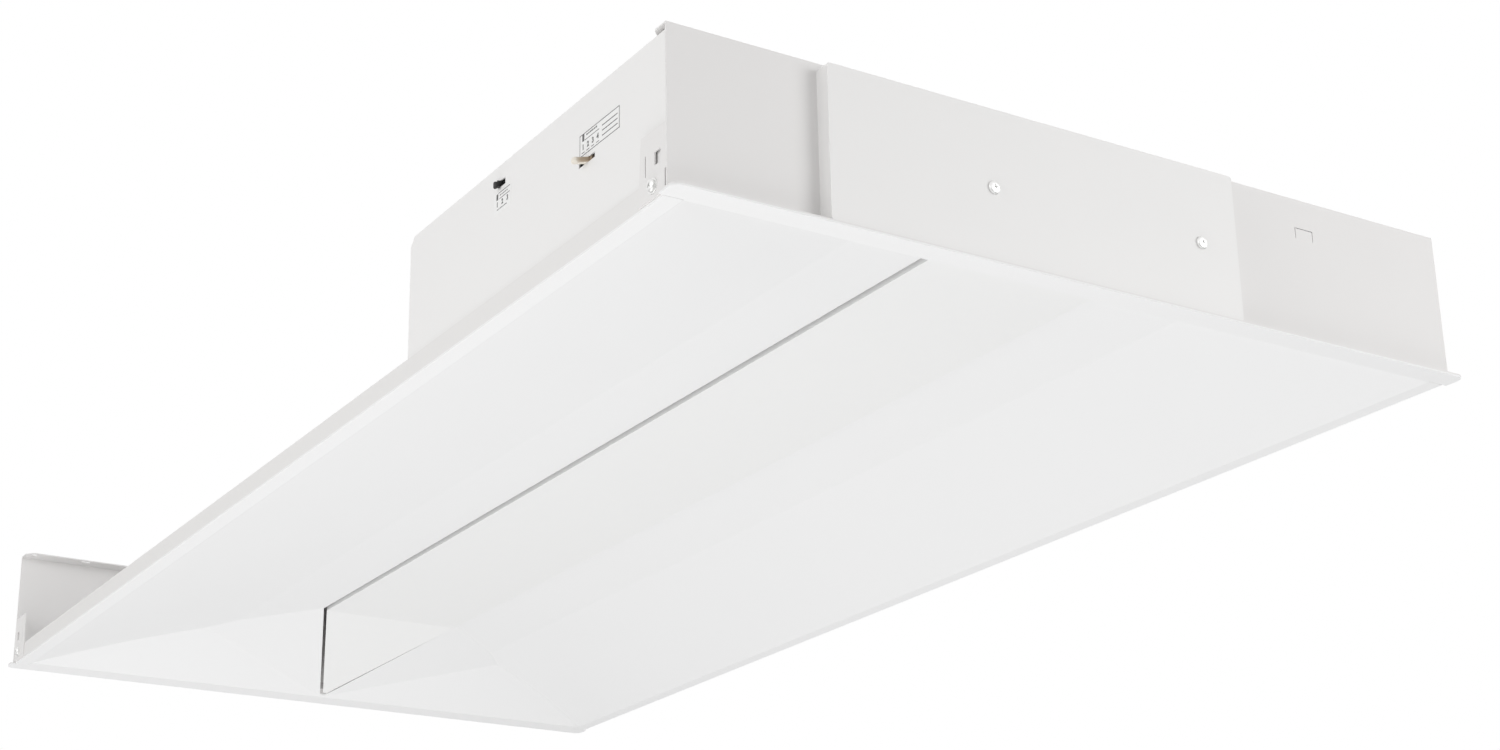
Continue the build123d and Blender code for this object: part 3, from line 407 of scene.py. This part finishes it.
def bare_metal(name, tone, streaks, contrast, metallic=1.0, **shine):
    """Metal with streaks, whose density is given for each axis."""
    inputs = {"Colour": finish_colour(tone), "Streaks": streaks, "Contrast": contrast, **shine}
    return coat(new_material(name), "metal", inputs, relief=0.01 * MM, metallic=metallic)


def zinc_plate():
    """Zinc of the screws, which is speckled and has no direction."""
    return bare_metal("zinc_plate", "zinc", (900.0, 900.0, 900.0), 0.1, **gloss(0.3, 0.42))


def spring_steel():
    """Rolled strip of the lens clips."""
    return bare_metal("spring_steel", "spring", (80.0, 2400.0, 2400.0), 0.2)


def rivet_aluminium():
    """Drawn aluminium of the boards' rivets."""
    return bare_metal("rivet_aluminium", "rivet", (1200.0, 1200.0, 400.0), 0.15)


def ground_green():
    """Green plating of the ground screw."""
    return bare_metal("ground_green", "ground", (900.0, 900.0, 900.0), 0.2, metallic=0.6)


def ivory_plastic():
    """Cream plastic with painted shade: tan on the lever's flank towards the end plate."""
    material = new_material("ivory_plastic")
    tree = material.node_tree
    low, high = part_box("colour_selector_lever")
    flank_start = (low.x + high.x) / 2 + 1.2 * MM
    # Painted shade: the flank towards the end plate turns tan.
    flank = ramp(tree, position(tree)["X"], flank_start, width=0.5 * MM)
    tone = blend(tree, flank, finish_colour("ivory"), finish_colour("tan"))
    return coat(material, "moulded", {"Colour": tone, "Grain": 1600.0, "Flow": 0.08}, relief=0.02 * MM)


def moulding(name, tone, grain, flow, relief=0.02 * MM, **shine):
    """Plastic, rubber or film of one colour."""
    inputs = {"Colour": finish_colour(tone), "Grain": grain, "Flow": flow, **shine}
    return coat(new_material(name), "moulded", inputs, relief)


def black_plastic():
    """The selectors' bodies and the output lever."""
    return moulding("black_plastic", "black", grain=1500.0, flow=0.3)


def white_nylon():
    """The boards' plug."""
    return moulding("white_nylon", "plug", grain=1400.0, flow=0.06)


def orange_nylon():
    """The wire connectors."""
    return moulding("orange_nylon", "connector", grain=1400.0, flow=0.12)


def grey_jacket():
    """The cables of the boards and the selectors."""
    return moulding("grey_jacket", "jacket", grain=1100.0, flow=0.1, relief=0.03 * MM)


def black_rubber():
    """The grommet in the bulkhead."""
    return moulding("black_rubber", "rubber", grain=900.0, flow=0.3, relief=0.03 * MM, **gloss(0.6, 0.8))


def label_film():
    """Smooth white film of the labels."""
    return moulding("label_film", "film", grain=2400.0, flow=0.01, relief=0.004 * MM)


def label_ink():
    """Print on the labels, a little uneven."""
    return moulding("label_ink", "ink", grain=2400.0, flow=0.2, relief=0.004 * MM)


def supply_insulation():
    """The three supply leads: white, black and green, told apart by where they lie."""
    material = new_material("supply_insulation")
    tree = material.node_tree
    across = position(tree)["Y"]
    between_leads = 7.0 * MM
    past_first = calculate(tree, "GREATER_THAN", across, -between_leads)
    past_second = calculate(tree, "GREATER_THAN", across, between_leads)
    first_two = blend(tree, past_first, finish_colour("neutral_lead"), finish_colour("live_lead"))
    tone = blend(tree, past_second, first_two, finish_colour("ground_lead"))
    return coat(material, "moulded", {"Colour": tone}, relief=0.02 * MM)


def board_laminate():
    """White solder mask with yellow phosphor on the chips, which stand below the board."""
    material = new_material("board_laminate")
    tree = material.node_tree
    chip_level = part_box("led_board_1")[0].z + 0.2 * MM
    on_chip = calculate(tree, "LESS_THAN", position(tree)["Z"], chip_level)
    tone = blend(tree, on_chip, finish_colour("board"), finish_colour("phosphor"))
    return coat(material, "moulded", {"Colour": tone, "Flow": 0.04}, relief=0.008 * MM)


NODE_FINISHES = {
    reflector_enamel: ("left_wing", "right_wing", "far_end_panel", "near_end_panel"),
    housing_enamel: ("near_end_plate", "far_end_plate", "light_tray", "tray_end_plate", "point_hood"),
    box_enamel: (
        "driver_box_top", "switch_side_panel", "plain_side_panel", "driver_box_bulkhead", "wiring_hatch",
        "end_cover",
    ),
    driver_enamel: ("driver_base", "driver_cover"),
    lens_acrylic: ("lens",),
    spring_steel: ("lens_clips",),
    rivet_aluminium: ("board_rivets",),
    board_laminate: ("led_board_1", "led_board_2", "led_board_3", "led_board_4"),
    black_plastic: ("colour_selector_body", "output_selector_body"),
    white_nylon: ("led_plug",),
    orange_nylon: ("wire_connectors",),
    grey_jacket: ("led_lead", "switch_leads"),
    black_rubber: ("lead_grommet",),
    supply_insulation: ("supply_leads",),
}


# ---------------------------------------------------------------- mesh helpers
def as_mesh(mesh, name):
    """Turns a bmesh into a mesh of that name, and frees it."""
    data = bpy.data.meshes.new(name)
    mesh.to_mesh(data)
    mesh.free()
    return data


def add_object(name, data):
    """A new object of the scene."""
    made = bpy.data.objects.new(name, data)
    bpy.context.scene.collection.objects.link(made)
    return made


def evaluated_mesh(thing):
    """The mesh of an object with its modifiers applied, or of a text."""
    depsgraph = bpy.context.evaluated_depsgraph_get()
    return bpy.data.meshes.new_from_object(thing.evaluated_get(depsgraph))


def add_copy(mesh, data, placed):
    """Adds a mesh to a bmesh, placed by a matrix."""
    start = len(mesh.verts)
    mesh.from_mesh(data)
    mesh.verts.ensure_lookup_table()
    bmesh.ops.transform(mesh, matrix=placed, verts=mesh.verts[start:])


def merged_copy(node, distance):
    """A bmesh of a CAD node, with the corners of its loose triangles merged."""
    mesh = bmesh.new()
    mesh.from_mesh(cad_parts[node].data)
    bmesh.ops.remove_doubles(mesh, verts=mesh.verts, dist=distance)
    return mesh


def finish_piece(mesh, name, material, body="housing", replaced=()):
    """Makes a bmesh a piece of the light that rides on a body."""
    bmesh.ops.remove_doubles(mesh, verts=mesh.verts, dist=MERGE)
    bmesh.ops.recalc_face_normals(mesh, faces=mesh.faces)
    piece = add_object(name, as_mesh(mesh, name))
    piece.data.materials.append(material)
    if replaced:
        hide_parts(*replaced)
    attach(piece, body)
    return piece


def turned(profile, sides):
    """A round solid about Z from a profile of radius and height that starts and ends on the axis."""
    mesh = bmesh.new()
    points = [mesh.verts.new((radius, 0.0, height)) for radius, height in profile]
    edges = [mesh.edges.new(pair) for pair in zip(points, points[1:])]
    full = 2 * math.pi
    bmesh.ops.spin(
        mesh, geom=points + edges, cent=(0, 0, 0), axis=UP, angle=full, steps=sides, use_merge=True
    )
    bmesh.ops.remove_doubles(mesh, verts=mesh.verts, dist=MERGE / 10)
    bmesh.ops.recalc_face_normals(mesh, faces=mesh.faces)
    return mesh


def hollowed(mesh, cutter):
    """The solid less its cutter, by an exact Boolean."""
    blank = add_object("blank", as_mesh(mesh, "blank"))
    knife = add_object("cutter", as_mesh(cutter, "cutter"))
    cut = blank.modifiers.new("cut", "BOOLEAN")
    cut.operation = "DIFFERENCE"
    cut.solver = "EXACT"
    cut.use_self = True
    cut.object = knife
    made = evaluated_mesh(blank)
    result = bmesh.new()
    result.from_mesh(made)
    bpy.data.meshes.remove(made)
    for shape in (blank, knife):
        data = shape.data
        bpy.data.objects.remove(shape)
        bpy.data.meshes.remove(data)
    return result


# ---------------------------------------------------------------- finishes
class TROFFER_OT_dress_nodes(bpy.types.Operator):
    """Gives every formed, moulded and wired piece its finish"""

    bl_idname = "troffer.dress_nodes"
    bl_label = "Finishes"

    def execute(self, context):
        for make, names in NODE_FINISHES.items():
            material = make()
            for name in names:
                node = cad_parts[name]
                node.data.materials.clear()
                node.data.materials.append(material)
        return {"FINISHED"}


# ---------------------------------------------------------------- levers
def rounded_lever(node, body, material, edge, bend, widen):
    """A copy of a lever's solid, wider to its left, bent outside the box and with rounded edges there."""
    mesh = merged_copy(node, MERGE)
    flat = math.radians(1.0)
    bmesh.ops.dissolve_limit(mesh, angle_limit=flat, verts=mesh.verts, edges=mesh.edges)
    low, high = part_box(node)
    foot = low.x + 0.5 * MM
    middle = (low.x + high.x) / 2 - 0.05 * MM
    left = [v for v in mesh.verts if foot < v.co.x < middle]
    bmesh.ops.translate(mesh, vec=(-widen, 0, 0), verts=left)
    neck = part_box("switch_side_panel")[0].y - 0.4 * MM
    whole = mesh.verts[:] + mesh.edges[:] + mesh.faces[:]
    bmesh.ops.bisect_plane(mesh, geom=whole, dist=MERGE / 10, plane_co=(0, neck, 0), plane_no=(0, 1, 0))
    outside = neck - 0.2 * MM
    bmesh.ops.translate(mesh, vec=bend, verts=[v for v in mesh.verts if v.co.y < outside])
    sharp = [e for e in mesh.edges if e.calc_face_angle(0) > SHARP]
    sharp = [e for e in sharp if min(v.co.y for v in e.verts) < outside]
    bmesh.ops.bevel(
        mesh, geom=sharp, offset=edge, affect="EDGES", segments=4, profile=0.5, material=-1,
        clamp_overlap=True,
    )
    piece = finish_piece(mesh, "moulded_" + node, material, body=body, replaced=(node,))
    for face in piece.data.polygons:
        face.use_smooth = True
    piece.data.set_sharp_from_angle(angle=math.radians(35))
    return piece


class TROFFER_OT_levers(bpy.types.Operator):
    """Selector levers with the soft edges of moulded plastic, in place of the sharp ones"""

    bl_idname = "troffer.levers"
    bl_label = "Selector levers"

    def execute(self, context):
        levers = context.scene.troffer_levers
        rounded_lever(
            "colour_selector_lever", "colour_lever", ivory_plastic(), levers.colour_edge,
            bend=(-levers.colour_lean, levers.colour_trim, -levers.droop), widen=levers.colour_widen,
        )
        rounded_lever(
            "output_selector_lever", "output_lever", black_plastic(), levers.output_edge,
            bend=(0, levers.output_trim, -levers.droop), widen=0.0,
        )
        return {"FINISHED"}


# ---------------------------------------------------------------- screws
def head_profile(radius, seat, height):
    """A pan head on its seat, from the middle of its dome to the underside of its rim."""
    steps = 7
    flat_out, flat_up = 0.7, 0.8  # powers below 1 make the dome flatter than a ball
    rim_top, rim_foot = 0.25, 0.1  # shares of the head's height
    foot = 0.96 * radius
    points = [(0.0, seat + height)]
    for k in range(1, steps + 1):
        angle = math.pi / 2 * k / steps
        rise = rim_top + (1 - rim_top) * math.cos(angle) ** flat_up
        points.append((radius * math.sin(angle) ** flat_out, seat + height * rise))
    return points + [(radius, seat + rim_foot * height), (foot, seat)]


def washer_profile(screws):
    """The washer's edge, rounded on its upper side."""
    radius, height = screws.washer_radius, screws.washer_height
    shoulder = 0.6 * height
    return [(0.97 * radius, height), (radius, shoulder), (radius, 0.0)]


def shank_profile(reach, screws):
    """The shank from its seat to its point, with a ring for each turn of the thread."""
    pitch = screws.thread_pitch
    core = 0.78 * screws.shank_radius
    flank = 0.3 * pitch
    tip, tip_height = 0.9 * core, 0.4 * core
    points = [(core, 0.0)]
    for turn in range(int(reach / pitch)):
        crest = -(turn + 0.5) * pitch
        points += [(core, crest + flank), (screws.shank_radius, crest), (core, crest - flank)]
    return points + [(tip, tip_height - reach), (0.0, -reach)]


def cross_cutter(top, screws):
    """The cross of a driver's recess, narrower at its bottom."""
    size = (2 * screws.recess_reach, screws.recess_width, 2 * screws.recess_depth)
    narrowing = (0.45, 0.7, 1.0)
    mesh = bmesh.new()
    for turn in (0.0, math.pi / 2):
        made = bmesh.ops.create_cube(mesh, size=1.0)["verts"]
        bmesh.ops.scale(mesh, vec=size, verts=made)
        bmesh.ops.scale(mesh, vec=narrowing, verts=[v for v in made if v.co.z < 0])
        bmesh.ops.rotate(mesh, cent=(0, 0, 0), matrix=Matrix.Rotation(turn, 3, "Z"), verts=made)
    bmesh.ops.translate(mesh, vec=(0, 0, top), verts=mesh.verts)
    return mesh


def screw(head_radius, reach, washer, screws):
    """A pan head screw seated at Z = 0 with its threaded shank below."""
    seat = screws.washer_height if washer else 0.0
    profile = head_profile(head_radius, seat, screws.head_height)
    if washer:
        profile += washer_profile(screws)
    profile += shank_profile(reach, screws)
    return hollowed(turned(profile, screws.sides), cross_cutter(seat + screws.head_height, screws))


def seat_screws(name, material, seats, reach, head_radius, washer=False):
    """One piece of several screws: each seat is where a head rests and the direction that it faces."""
    screws = bpy.context.scene.troffer_screws
    pattern = as_mesh(screw(head_radius, reach, washer, screws), "screw_pattern")
    first_turn, next_turn = 0.3, 1.1
    mesh = bmesh.new()
    for number, (place, facing) in enumerate(seats):
        spin = Matrix.Rotation(first_turn + next_turn * number, 4, "Z")
        aim = Vector(facing).to_track_quat("Z", "Y").to_matrix().to_4x4()
        add_copy(mesh, pattern, Matrix.Translation(place) @ aim @ spin)
    bpy.data.meshes.remove(pattern)
    piece = finish_piece(mesh, "threaded_" + name, material, replaced=(name,))
    soften = piece.modifiers.new("soft_edges", "BEVEL")
    soften.width = screws.soft_edge
    soften.segments = 2
    soften.limit_method = "ANGLE"
    soften.angle_limit = SHARP
    return piece


def islands_of(node):
    """The boxes of a CAD node's separate solids."""
    mesh = merged_copy(node, 10 * MERGE)
    boxes = []
    left = set(mesh.verts)
    while left:
        front = [left.pop()]
        found = list(front)
        while front:
            near = {e.other_vert(v) for v in front for e in v.link_edges} & left
            left -= near
            front = list(near)
            found += front
        low = Vector([min(v.co[axis] for v in found) for axis in range(3)])
        high = Vector([max(v.co[axis] for v in found) for axis in range(3)])
        boxes.append((low, high))
    mesh.free()
    return sorted(boxes, key=lambda box: tuple(round(c, 4) for c in box[0]))


def under_head(low, high, axis, height):
    """Where a head rests whose top is the far side of its blank's box along an axis."""
    place = (low + high) / 2
    place[axis] = high[axis] - height
    return place


class TROFFER_OT_screws(bpy.types.Operator):
    """Threaded pan head screws with cross recesses, in place of the plain ones"""

    bl_idname = "troffer.screws"
    bl_label = "Screws"

    def execute(self, context):
        screws = context.scene.troffer_screws
        zinc = zinc_plate()
        self.corner_screws(screws, zinc)
        self.cover_screws(screws, zinc)
        for name in ("hatch_screws", "box_screws", "driver_screws"):
            self.upright_screws(name, zinc, "zinc_screws", islands_of(name), screws)
        ground = [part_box("ground_screw")]
        self.upright_screws("ground_screw", ground_green(), "ground_green", ground, screws)
        return {"FINISHED"}

    def corner_screws(self, screws, zinc):
        """Screws with washers through the ears of the end plates into the rails."""
        seats = []
        for low, high in islands_of("corner_screws"):
            centre = (low + high) / 2
            side = math.copysign(1, centre.y)
            seats.append((Vector((centre.x, side * screws.corner_seat, centre.z)), (0, side, 0)))
        radius = screws.corner_head_radius
        seat_screws("corner_screws", zinc, seats, screws.corner_reach, radius, washer=True)

    def cover_screws(self, screws, zinc):
        """Screws that hold the end cover, their heads towards +X."""
        blanks = islands_of("end_cover_screws")
        seats = [(under_head(*blank, X_AXIS, screws.head_height), FORWARD) for blank in blanks]
        seat_screws("end_cover_screws", zinc, seats, screws.cover_reach, screws.head_radius)

    def upright_screws(self, name, material, slot, blanks, screws):
        """Screws with their heads up, all as long as the first blank."""
        seats = [(under_head(*blank, Z_AXIS, screws.head_height), UP) for blank in blanks]
        reach = seats[0][0].z - blanks[0][0].z
        seat_screws(name, material, seats, reach, screws.head_radius)


# ---------------------------------------------------------------- labels
def on_switch_side(place):
    """A matrix that stands a flat drawing on the switch side of the driver box, at an X and a Z."""
    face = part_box("switch_side_panel")[0].y
    return Matrix.Translation((place[0], face, place[1])) @ Matrix.Rotation(math.pi / 2, 4, "X")


def label_body(place, size, labels):
    """A label's film with rounded corners, its face towards the switch side."""
    mesh = bmesh.new()
    made = bmesh.ops.create_grid(mesh, x_segments=1, y_segments=1, size=0.5)["verts"]
    bmesh.ops.scale(mesh, vec=(*size, 1), verts=made)
    corners = mesh.verts[:]
    bmesh.ops.bevel(
        mesh, geom=corners, offset=labels.corner, affect="VERTICES", segments=4, profile=0.5, material=-1
    )
    grown = bmesh.ops.extrude_face_region(mesh, geom=mesh.faces[:])["geom"]
    raised = [part for part in grown if isinstance(part, bmesh.types.BMVert)]
    bmesh.ops.translate(mesh, vec=(0, 0, labels.film), verts=raised)
    bmesh.ops.transform(mesh, matrix=on_switch_side(place), verts=mesh.verts)
    return mesh


def bars(place, rectangles, labels):
    """Printed bars: each is centre x, centre y, width and height in the label's own plane."""
    mesh = bmesh.new()
    middle = labels.film + labels.print_height / 2
    for x, y, width, height in rectangles:
        made = bmesh.ops.create_cube(mesh, size=1.0)["verts"]
        bmesh.ops.scale(mesh, vec=(width, height, labels.print_height), verts=made)
        bmesh.ops.translate(mesh, vec=(x, y, middle), verts=made)
    bmesh.ops.transform(mesh, matrix=on_switch_side(place), verts=mesh.verts)
    return mesh


def numerals(mesh, place, spots, labels):
    """Adds the numbers from 1 up, centred on the given spots of a label."""
    middle = labels.film + labels.print_height / 2
    for number, (x, y) in enumerate(spots, start=1):
        curve = bpy.data.curves.new("numeral", "FONT")
        curve.body = str(number)
        curve.size = labels.numeral
        curve.align_x = "CENTER"
        curve.align_y = "CENTER"
        curve.extrude = labels.print_height / 2
        curve.offset = labels.numeral_weight
        holder = add_object("numeral", curve)
        data = evaluated_mesh(holder)
        add_copy(mesh, data, on_switch_side(place) @ Matrix.Translation((x, y, middle)))
        bpy.data.objects.remove(holder)
        bpy.data.curves.remove(curve)
        bpy.data.meshes.remove(data)


def from_corner(size, x, y):
    """A place given in mm from a label's top left corner, as metres from its middle."""
    return (x * MM - size[0] / 2, size[1] / 2 - y * MM)


def bar(size, x, y, width, height):
    """A bar centred x and y mm from a label's top left corner."""
    return (*from_corner(size, x, y), width * MM, height * MM)


def dashes(size, start, end, y, height, pitch):
    """A row of dashes from start to end, y mm under a label's top edge, one short in each three."""
    shares = (0.84, 0.64, 0.84)
    row = []
    for k in range(int((end - start) / pitch)):
        width = pitch * shares[k % len(shares)]
        row.append(bar(size, start + (k + 0.5) * pitch, y, width, height))
    return row


def outline(width, height, line):
    """Four bars round a label's edge."""
    return [
        (0, height / 2 - line / 2, width, line),
        (0, -height / 2 + line / 2, width, line),
        (-width / 2 + line / 2, 0, line, height),
        (width / 2 - line / 2, 0, line, height),
    ]


class TROFFER_OT_labels(bpy.types.Operator):
    """Printed labels beside the selectors, with plain position numbers"""

    bl_idname = "troffer.labels"
    bl_label = "Labels"

    def execute(self, context):
        self.settings = context.scene.troffer_labels
        self.film_material = label_film()
        self.ink = label_ink()
        self.colour_label()
        self.output_label()
        return {"FINISHED"}

    def colour_label(self):
        """The wide label over the colour selector: four positions at its left, plain rules at its right."""
        size = (47.6 * MM, 14.6 * MM)
        thin, bold, inset = 0.45, 0.6, 0.6 * MM
        columns = [4.4 + 5.8 * k for k in range(4)]
        rules = [
            *outline(size[0] - inset, size[1] - inset, self.settings.line),
            bar(size, x=4.6, y=3.0, width=2.4, height=4.4),
            bar(size, x=15.0, y=5.0, width=17.0, height=thin),
            *dashes(size, start=8.0, end=23.0, y=2.3, height=0.9, pitch=2.2),
            *[bar(size, x, y=12.4, width=3.4, height=thin) for x in columns],
            *[bar(size, x=36.0, y=y, width=18.0, height=bold) for y in (4.4, 7.6, 10.8)],
        ]
        numbers = [from_corner(size, x, y=9.0) for x in columns]
        self.print_label("colour_label", (516.4 * MM, 69.7 * MM), size, rules, numbers)

    def output_label(self):
        """The small label under the output selector, with its three positions."""
        size = (22.6 * MM, 14.5 * MM)
        thin = 0.45
        rules = [
            bar(size, x=13.6, y=1.0, width=15.6, height=thin),
            bar(size, x=14.2, y=5.1, width=14.0, height=thin),
            bar(size, x=4.4, y=3.2, width=2.3, height=4.1),
            *dashes(size, start=7.6, end=20.0, y=3.0, height=0.6, pitch=2.2),
            *dashes(size, start=4.0, end=18.6, y=11.8, height=0.6, pitch=1.9),
        ]
        numbers = [from_corner(size, x, y=8.3) for x in (4.4, 11.2, 18.0)]
        self.print_label("output_label", (393.6 * MM, 76.3 * MM), size, rules, numbers)

    def print_label(self, name, place, size, rules, numbers):
        """One label, centred on an X and a Z: its film, and on it the rules and the numbers."""
        body = label_body(place, size, self.settings)
        finish_piece(body, name + "_film", self.film_material)
        printed = bars(place, rules, self.settings)
        numerals(printed, place, numbers, self.settings)
        finish_piece(printed, name + "_print", self.ink)


# ---------------------------------------------------------------- stage
LAMPS = {  # side, place and target of each, in metres
    "face": (3.0, (0.3, -0.9, -1.35), (0.3, -0.9, 0.0)),
    "end": (2.0, (3.0, 1.8, 0.3), (0.5, 0.0, 0.05)),
    "side": (2.4, (0.6, -3.4, 0.4), (0.2, -0.2, 0.05)),
    "top": (3.0, (-1.6, 1.2, 2.6), (0.0, 0.0, 0.0)),
}


def lamp(name, power, side, place, target):
    """A large soft lamp that the camera doesn't see."""
    data = bpy.data.lights.new(name, "AREA")
    data.shape = "SQUARE"
    data.size = side
    data.energy = power
    made = add_object(name, data)
    made.location = place
    aim = Vector(target) - Vector(place)
    made.rotation_mode = "QUATERNION"
    made.rotation_quaternion = aim.to_track_quat("-Z", "Y")
    made.visible_camera = False


def pale_floor(stage):
    """Plain floor far below the light, seen a little paler than the lamps make it."""
    mesh = bmesh.new()
    bmesh.ops.create_grid(mesh, x_segments=1, y_segments=1, size=stage.floor_size / 2)
    bmesh.ops.translate(mesh, vec=(0, 0, -stage.floor_drop), verts=mesh.verts)
    floor = add_object("floor", as_mesh(mesh, "floor"))
    made = new_material("pale_floor")
    tree = made.node_tree
    darkest = 0.985
    shade = spread(tree, noise(tree, coordinates(tree), scale=2.0), darkest, 1.0)
    seen = tree.nodes.new("ShaderNodeLightPath").outputs["Is Camera Ray"]
    feeds = {
        "Base Color": tint(tree, tuple(stage.floor_tone), shade),
        "Roughness": 0.9,
        "Specular IOR Level": 0.0,
        "Emission Color": (1.0, 1.0, 1.0, 1.0),
        "Emission Strength": calculate(tree, "MULTIPLY", seen, stage.floor_glow),
    }
    show(tree, add_node(tree, "ShaderNodeBsdfPrincipled", feeds))
    floor.data.materials.append(made)


def studio_sky(scene, level):
    """Even light from all round, seen as plain white by the camera and in gloss."""
    world = bpy.data.worlds.new("studio")
    scene.world = world
    world.use_nodes = True
    tree = world.node_tree
    tree.nodes.clear()
    rays = tree.nodes.new("ShaderNodeLightPath").outputs
    seen = calculate(tree, "MAXIMUM", rays["Is Camera Ray"], rays["Is Glossy Ray"])
    seen = calculate(tree, "MAXIMUM", seen, rays["Is Transmission Ray"])
    feeds = {"Color": (1.0, 1.0, 1.0, 1.0), "Strength": spread(tree, seen, level, 1.0)}
    light = add_node(tree, "ShaderNodeBackground", feeds)
    output = tree.nodes.new("ShaderNodeOutputWorld")
    tree.links.new(light.outputs["Background"], output.inputs["Surface"])


def camera(scene):
    """The photograph's viewpoint, under the switch side of the driver end."""
    place = Vector((1.6378, -0.9180, -0.5644))
    look = Vector((-0.79921, 0.49621, 0.33918)).normalized()
    upright = Vector((0.29581, -0.16652, 0.94062))
    side = look.cross(upright).normalized()
    top = side.cross(look)
    focal_px = 2471.8
    width_px, height_px = 1500.0, 750.0
    centre_px = (715.0, 413.0)
    data = bpy.data.cameras.new("camera")
    data.sensor_width = 36.0
    data.lens = focal_px / width_px * data.sensor_width
    data.shift_x = (width_px / 2 - centre_px[0]) / width_px
    data.shift_y = (centre_px[1] - height_px / 2) / width_px
    data.clip_start = 0.05
    data.clip_end = 50.0
    made = add_object("camera", data)
    turn = Matrix((side, top, -look)).transposed()
    made.matrix_world = Matrix.Translation(place) @ turn.to_4x4()
    scene.camera = made


class TROFFER_OT_stage(bpy.types.Operator):
    """Floor, sky, lamps and the camera"""

    bl_idname = "troffer.stage"
    bl_label = "Stage"

    def execute(self, context):
        stage = context.scene.troffer_stage
        pale_floor(stage)
        studio_sky(context.scene, stage.sky_level)
        for name, (side, place, target) in LAMPS.items():
            lamp(name + "_lamp", getattr(stage, name + "_power"), side, place, target)
        camera(context.scene)
        context.scene.view_settings.view_transform = "Standard"
        return {"FINISHED"}


# ---------------------------------------------------------------- add-on
STEPS = (
    TROFFER_OT_dress_nodes,
    TROFFER_OT_levers,
    TROFFER_OT_screws,
    TROFFER_OT_labels,
    TROFFER_OT_stage,
)


class TROFFER_PT_panel(bpy.types.Panel):
    """Lists the steps that dress the light"""

    bl_idname = "TROFFER_PT_panel"
    bl_label = "Troffer light"
    bl_space_type = "VIEW_3D"
    bl_region_type = "UI"
    bl_category = "Troffer"

    def draw(self, context):
        for step in STEPS:
            self.layout.operator(step.bl_idname)


CLASSES = (*SETTINGS.values(), *STEPS, TROFFER_PT_panel)


def register():
    for made in CLASSES:
        bpy.utils.register_class(made)
    for name, group in SETTINGS.items():
        setattr(bpy.types.Scene, name, PointerProperty(type=group))


def unregister():
    for name in SETTINGS:
        delattr(bpy.types.Scene, name)
    for made in reversed(CLASSES):
        bpy.utils.unregister_class(made)


def main():
    register()
    for step in STEPS:
        category, name = step.bl_idname.split(".")
        getattr(getattr(bpy.ops, category), name)()


if __name__ == "__main__":
    main()
